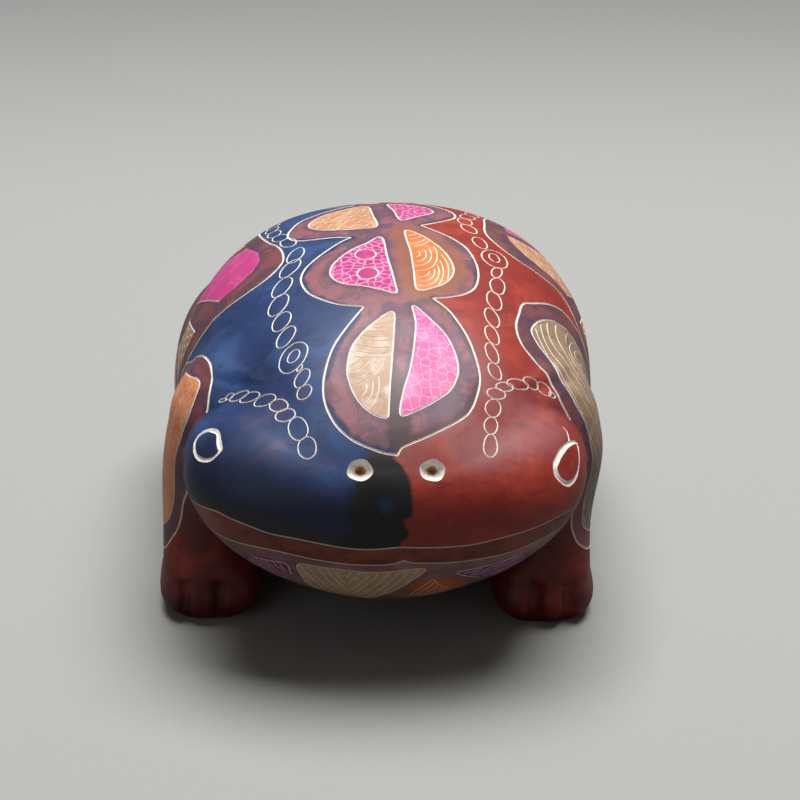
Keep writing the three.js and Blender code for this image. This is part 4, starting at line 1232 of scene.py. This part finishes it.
def divide():
    made = {}
    rest = stone

    def part(piece, name, tool):
        return cut(newObject(name, piece.data.copy()), tool, "INTERSECT")

    for name, tool in tools.items():
        made[name] = part(rest, name + "_carved", tool)
        cut(rest, tool)
    neckBlock, mouthBlock = neckTool(), mouthTool()
    front = part(rest, "front", neckBlock)
    made["head"] = part(front, "head_carved", mouthBlock)
    made["lower_jaw"] = cut(front, mouthBlock)
    made["body"] = cut(rest, neckBlock)
    for name in ("lower_jaw", "body"):
        made[name].name = name + "_carved"
    for tool in (*tools.values(), neckBlock, mouthBlock):
        bpy.data.objects.remove(tool)
    return made


def cleanCut(piece):  # takes out the loose slivers that the cuts leave, two faces back to back
    mesh = bmesh.new()
    mesh.from_mesh(piece.data)
    slivers = [face for face in mesh.faces
               if all(set(other.verts) == set(face.verts) for edge in face.edges for other in edge.link_faces)]
    bmesh.ops.delete(mesh, geom=slivers, context="FACES")
    mesh.to_mesh(piece.data)
    mesh.free()


pieces = divide()
for piece in pieces.values():
    cleanCut(piece)
print("pieces:", {name: len(piece.data.polygons) for name, piece in pieces.items()})


# Dyes go on by region, and the skin takes the true normals of the form

dressing = {"foreleg": (40, 10), "leg": (34, 14),  # where a leg's dye ends, and over what height it fades
            "legBlend": 5, "backTilt": 0.05, "faceTilt": 0.35, "sideFrom": 5, "overHead": ((46, 50), (0, 1.5)),
            "sharp": 38}
cutFinish = {"skin": "groundDye", "bareLine": "line", "drilledStone": "drilled"}  # what each material becomes


def legDye(points, node):  # how far the dye of the legs covers the ground
    trunk = np.minimum(torsoField(*points.T), headField(*points.T))
    legs = np.min(list(legFields(*points.T).values()), 0)
    end, fade = dressing["foreleg" if node.endswith("foreleg") else "leg"]
    return np.clip((trunk - legs) / dressing["legBlend"] + 0.5, 0, 1) * np.clip((end - points[:, 2]) / fade, 0, 1)


def sights(centres, node):  # the faces that each way of drawing reaches
    slope = unit(stoneSlope(centres))
    x, y, z = centres.T
    head = headField(x, y, z)
    others = np.minimum(torsoField(x, y, z), np.min(list(legFields(x, y, z).values()), 0))
    seen = {"back": slope[:, 2] > dressing["backTilt"], "face": (head < others) & (slope[:, 1] < dressing["faceTilt"]),
            "wrap": np.full(len(centres), node in ("head", "lower_jaw"))}
    besideHead = (node != "lower_jaw") & (head > others - np.interp(z, *dressing["overHead"]))
    return {**seen, **{name: (x * side > dressing["sideFrom"]) & besideHead for name, side in sides.items()}}


def dressPiece(piece, node):
    mesh = piece.data
    starts, totals = (readAll(mesh.polygons, key) for key in ("loop_start", "loop_total"))
    corners = readAll(mesh.loops, "vertex_index")
    owner = np.repeat(np.arange(len(starts)), totals)
    points = readAll(mesh.vertices, "co", np.float32, 3).astype(float) / metres
    centres = np.add.reduceat(points[corners], starts) / totals[:, None]
    kinds = np.array([material.name for material in mesh.materials])[readAll(mesh.polygons, "material_index")]
    isSkin = kinds == "skin"
    finish = np.array([cutFinish.get(kind, "inner") for kind in kinds], dtype=object)
    seenFrom = sights(centres, node)
    lay = np.zeros((len(corners), 3))
    lay[:, 2] = legDye(points, node)[corners]
    for region in regions:
        view, edge, margin = region["view"], region["edge"], region["margin"]
        flat = toFlat(view, centres)
        inBox = (flat > edge.min(0) - margin).all(1) & (flat < edge.max(0) + margin).all(1)
        at = np.flatnonzero(seenFrom[view] & isSkin & inBox)
        chosen = within(edge, flat[at])
        if margin:
            chosen |= (distanceTo(edge, flat[at]) < margin) & (finish[at] == "plumPatch")
        at = at[chosen]
        if not len(at):
            continue
        finish[at] = region["material"]
        mine = np.isin(owner, at)
        own = toFlat(view, points[corners[mine]])
        lay[mine, :2] = own
        lay[mine, 2] = distanceTo(edge, own) * np.where(within(edge, own), 1, -1) if margin else 0
        if region["halo"]:
            lay[mine] = np.c_[nearest(region["halo"], own), nearest(region["warm"], own), distanceTo(edge, own)]
    onSkin = isSkin[owner]
    lay[~onSkin, 2] = -stoneField(*points[corners[~onSkin]].T)
    used, slots = np.unique(finish.astype(str), return_inverse=True)
    mesh.materials.clear()
    for name in used:
        mesh.materials.append(finishes[name])
    mesh.polygons.foreach_set("material_index", slots.astype(np.int32))
    mesh.attributes.new("lay", "FLOAT_VECTOR", "CORNER").data.foreach_set("vector", lay.astype(np.float32).ravel())
    mesh.polygons.foreach_set("use_smooth", np.ones(len(starts), bool))
    mesh.set_sharp_from_angle(angle=math.radians(dressing["sharp"]))
    normals = readAll(mesh.corner_normals, "vector", np.float32, 3)
    normals[onSkin] = unit(stoneSlope(points))[corners[onSkin]]
    mesh.normals_split_custom_set(normals.tolist())
    mesh.update()


slotOf = {"body": "navy_dye", "lower_jaw": "plum_dye"}
for node, piece in pieces.items():
    dressPiece(piece, node)
    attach(piece, "root")
    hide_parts(node)
    slotOf.get(node, "tan_dye" if node.endswith("thigh") else "red_dye")
print("pieces dressed")


# Floor, light and camera

studio = {"floor": (177, 178, 175), "mottle": 0.93, "farShade": 0.58, "farFrom": (170, 480), "bounce": 0.4,
          "floorSize": 6, "floorRoughness": 0.9, "floorShine": 0.2, "world": 0.06, "mirrored": 0.2, "aim": (0, 0, 0.03),
          "lamps": {"key": {"power": 10.9, "place": (0.06, 0.14, 0.85), "size": (0.7, 0.56)},
                    "fill": {"power": 0.36, "place": (-0.55, -0.6, 0.32), "size": (0.6, 0.6)}}}
view = {"distance": 520, "elevation": 26, "yaw": 1, "roll": 0.5, "target": (0, -6, 33), "focal": 2630,
        "middleX": 383, "middleY": 411, "frame": 800, "sensor": 36, "clip": (0.01, 20)}  # pixels of an 800 by 800 image


def floorMaterial():
    n = Dye("paper")
    tone = rgb(*studio["floor"])
    dim, far, dull = (tuple(studio[name] * c for c in tone[:3]) + (1,) for name in ("mottle", "farShade", "bounce"))
    near = n.blend(n.noise(*grains["paper"]), tone, dim)
    seen = n.blend(n.ramp(n.split(n.place)[1], *studio["farFrom"]), near, far)
    straight = n.add("ShaderNodeLightPath").outputs["Is Camera Ray"]
    colour = n.blend(straight, dull, seen)  # dull is what the floor throws back on the stone
    return n.finish({"Base Color": colour, "Roughness": studio["floorRoughness"],
                     "Specular IOR Level": studio["floorShine"]})


def makeStudio():
    half = studio["floorSize"] / 2
    mesh = bpy.data.meshes.new("floor")
    mesh.from_pydata([(-half, -half, 0), (half, -half, 0), (half, half, 0), (-half, half, 0)], [], [(0, 1, 2, 3)])
    mesh.materials.append(floorMaterial())
    floor = newObject("floor", mesh)
    world = bpy.data.worlds.new("studio")
    bpy.context.scene.world = world
    world.use_nodes = True
    n = Nodes(world.node_tree)
    background = n.tree.nodes["Background"]
    mirrored = n.add("ShaderNodeLightPath").outputs["Is Glossy Ray"]
    n.put(background.inputs["Color"], (1, 1, 1, 1))
    n.put(background.inputs["Strength"], n.shifted(studio["world"], mirrored, studio["mirrored"] - studio["world"]))
    for name, settings in studio["lamps"].items():
        lamp = bpy.data.lights.new(name, "AREA")
        lamp.shape = "RECTANGLE"
        lamp.size, lamp.size_y = settings["size"]
        lamp.energy = settings["power"]
        holder = newObject(name, lamp)
        holder.location = settings["place"]
        aim = Vector(studio["aim"]) - Vector(settings["place"])
        holder.rotation_euler = aim.to_track_quat("-Z", "Y").to_euler()


def makeCamera():
    lift, swing, roll = (math.radians(a) for a in (view["elevation"], -view["yaw"], view["roll"]))
    back = Vector((math.sin(swing) * math.cos(lift), -math.cos(swing) * math.cos(lift), math.sin(lift)))
    across = Vector((math.cos(swing), math.sin(swing), 0))
    up = back.cross(across)
    right, up = across * math.cos(roll) + up * math.sin(roll), up * math.cos(roll) - across * math.sin(roll)
    eye = (Vector(view["target"]) + back * view["distance"]) * metres
    middle, focal = view["frame"] / 2, view["focal"]
    ahead = -back + right * ((middle - view["middleX"]) / focal) - up * ((middle - view["middleY"]) / focal)
    back = -ahead.normalized()
    right = (right - back * right.dot(back)).normalized()
    up = back.cross(right)
    lens = bpy.data.cameras.new("camera")
    lens.sensor_width = view["sensor"]
    lens.lens = focal * view["sensor"] / view["frame"]
    lens.clip_start, lens.clip_end = view["clip"]
    camera = newObject("camera", lens)
    camera.matrix_world = Matrix.Translation(eye) @ Matrix((right, up, back)).transposed().to_4x4()
    bpy.context.scene.camera = camera


makeStudio()
makeCamera()
bpy.context.scene.view_settings.view_transform = "Standard"
bpy.context.view_layer.update()
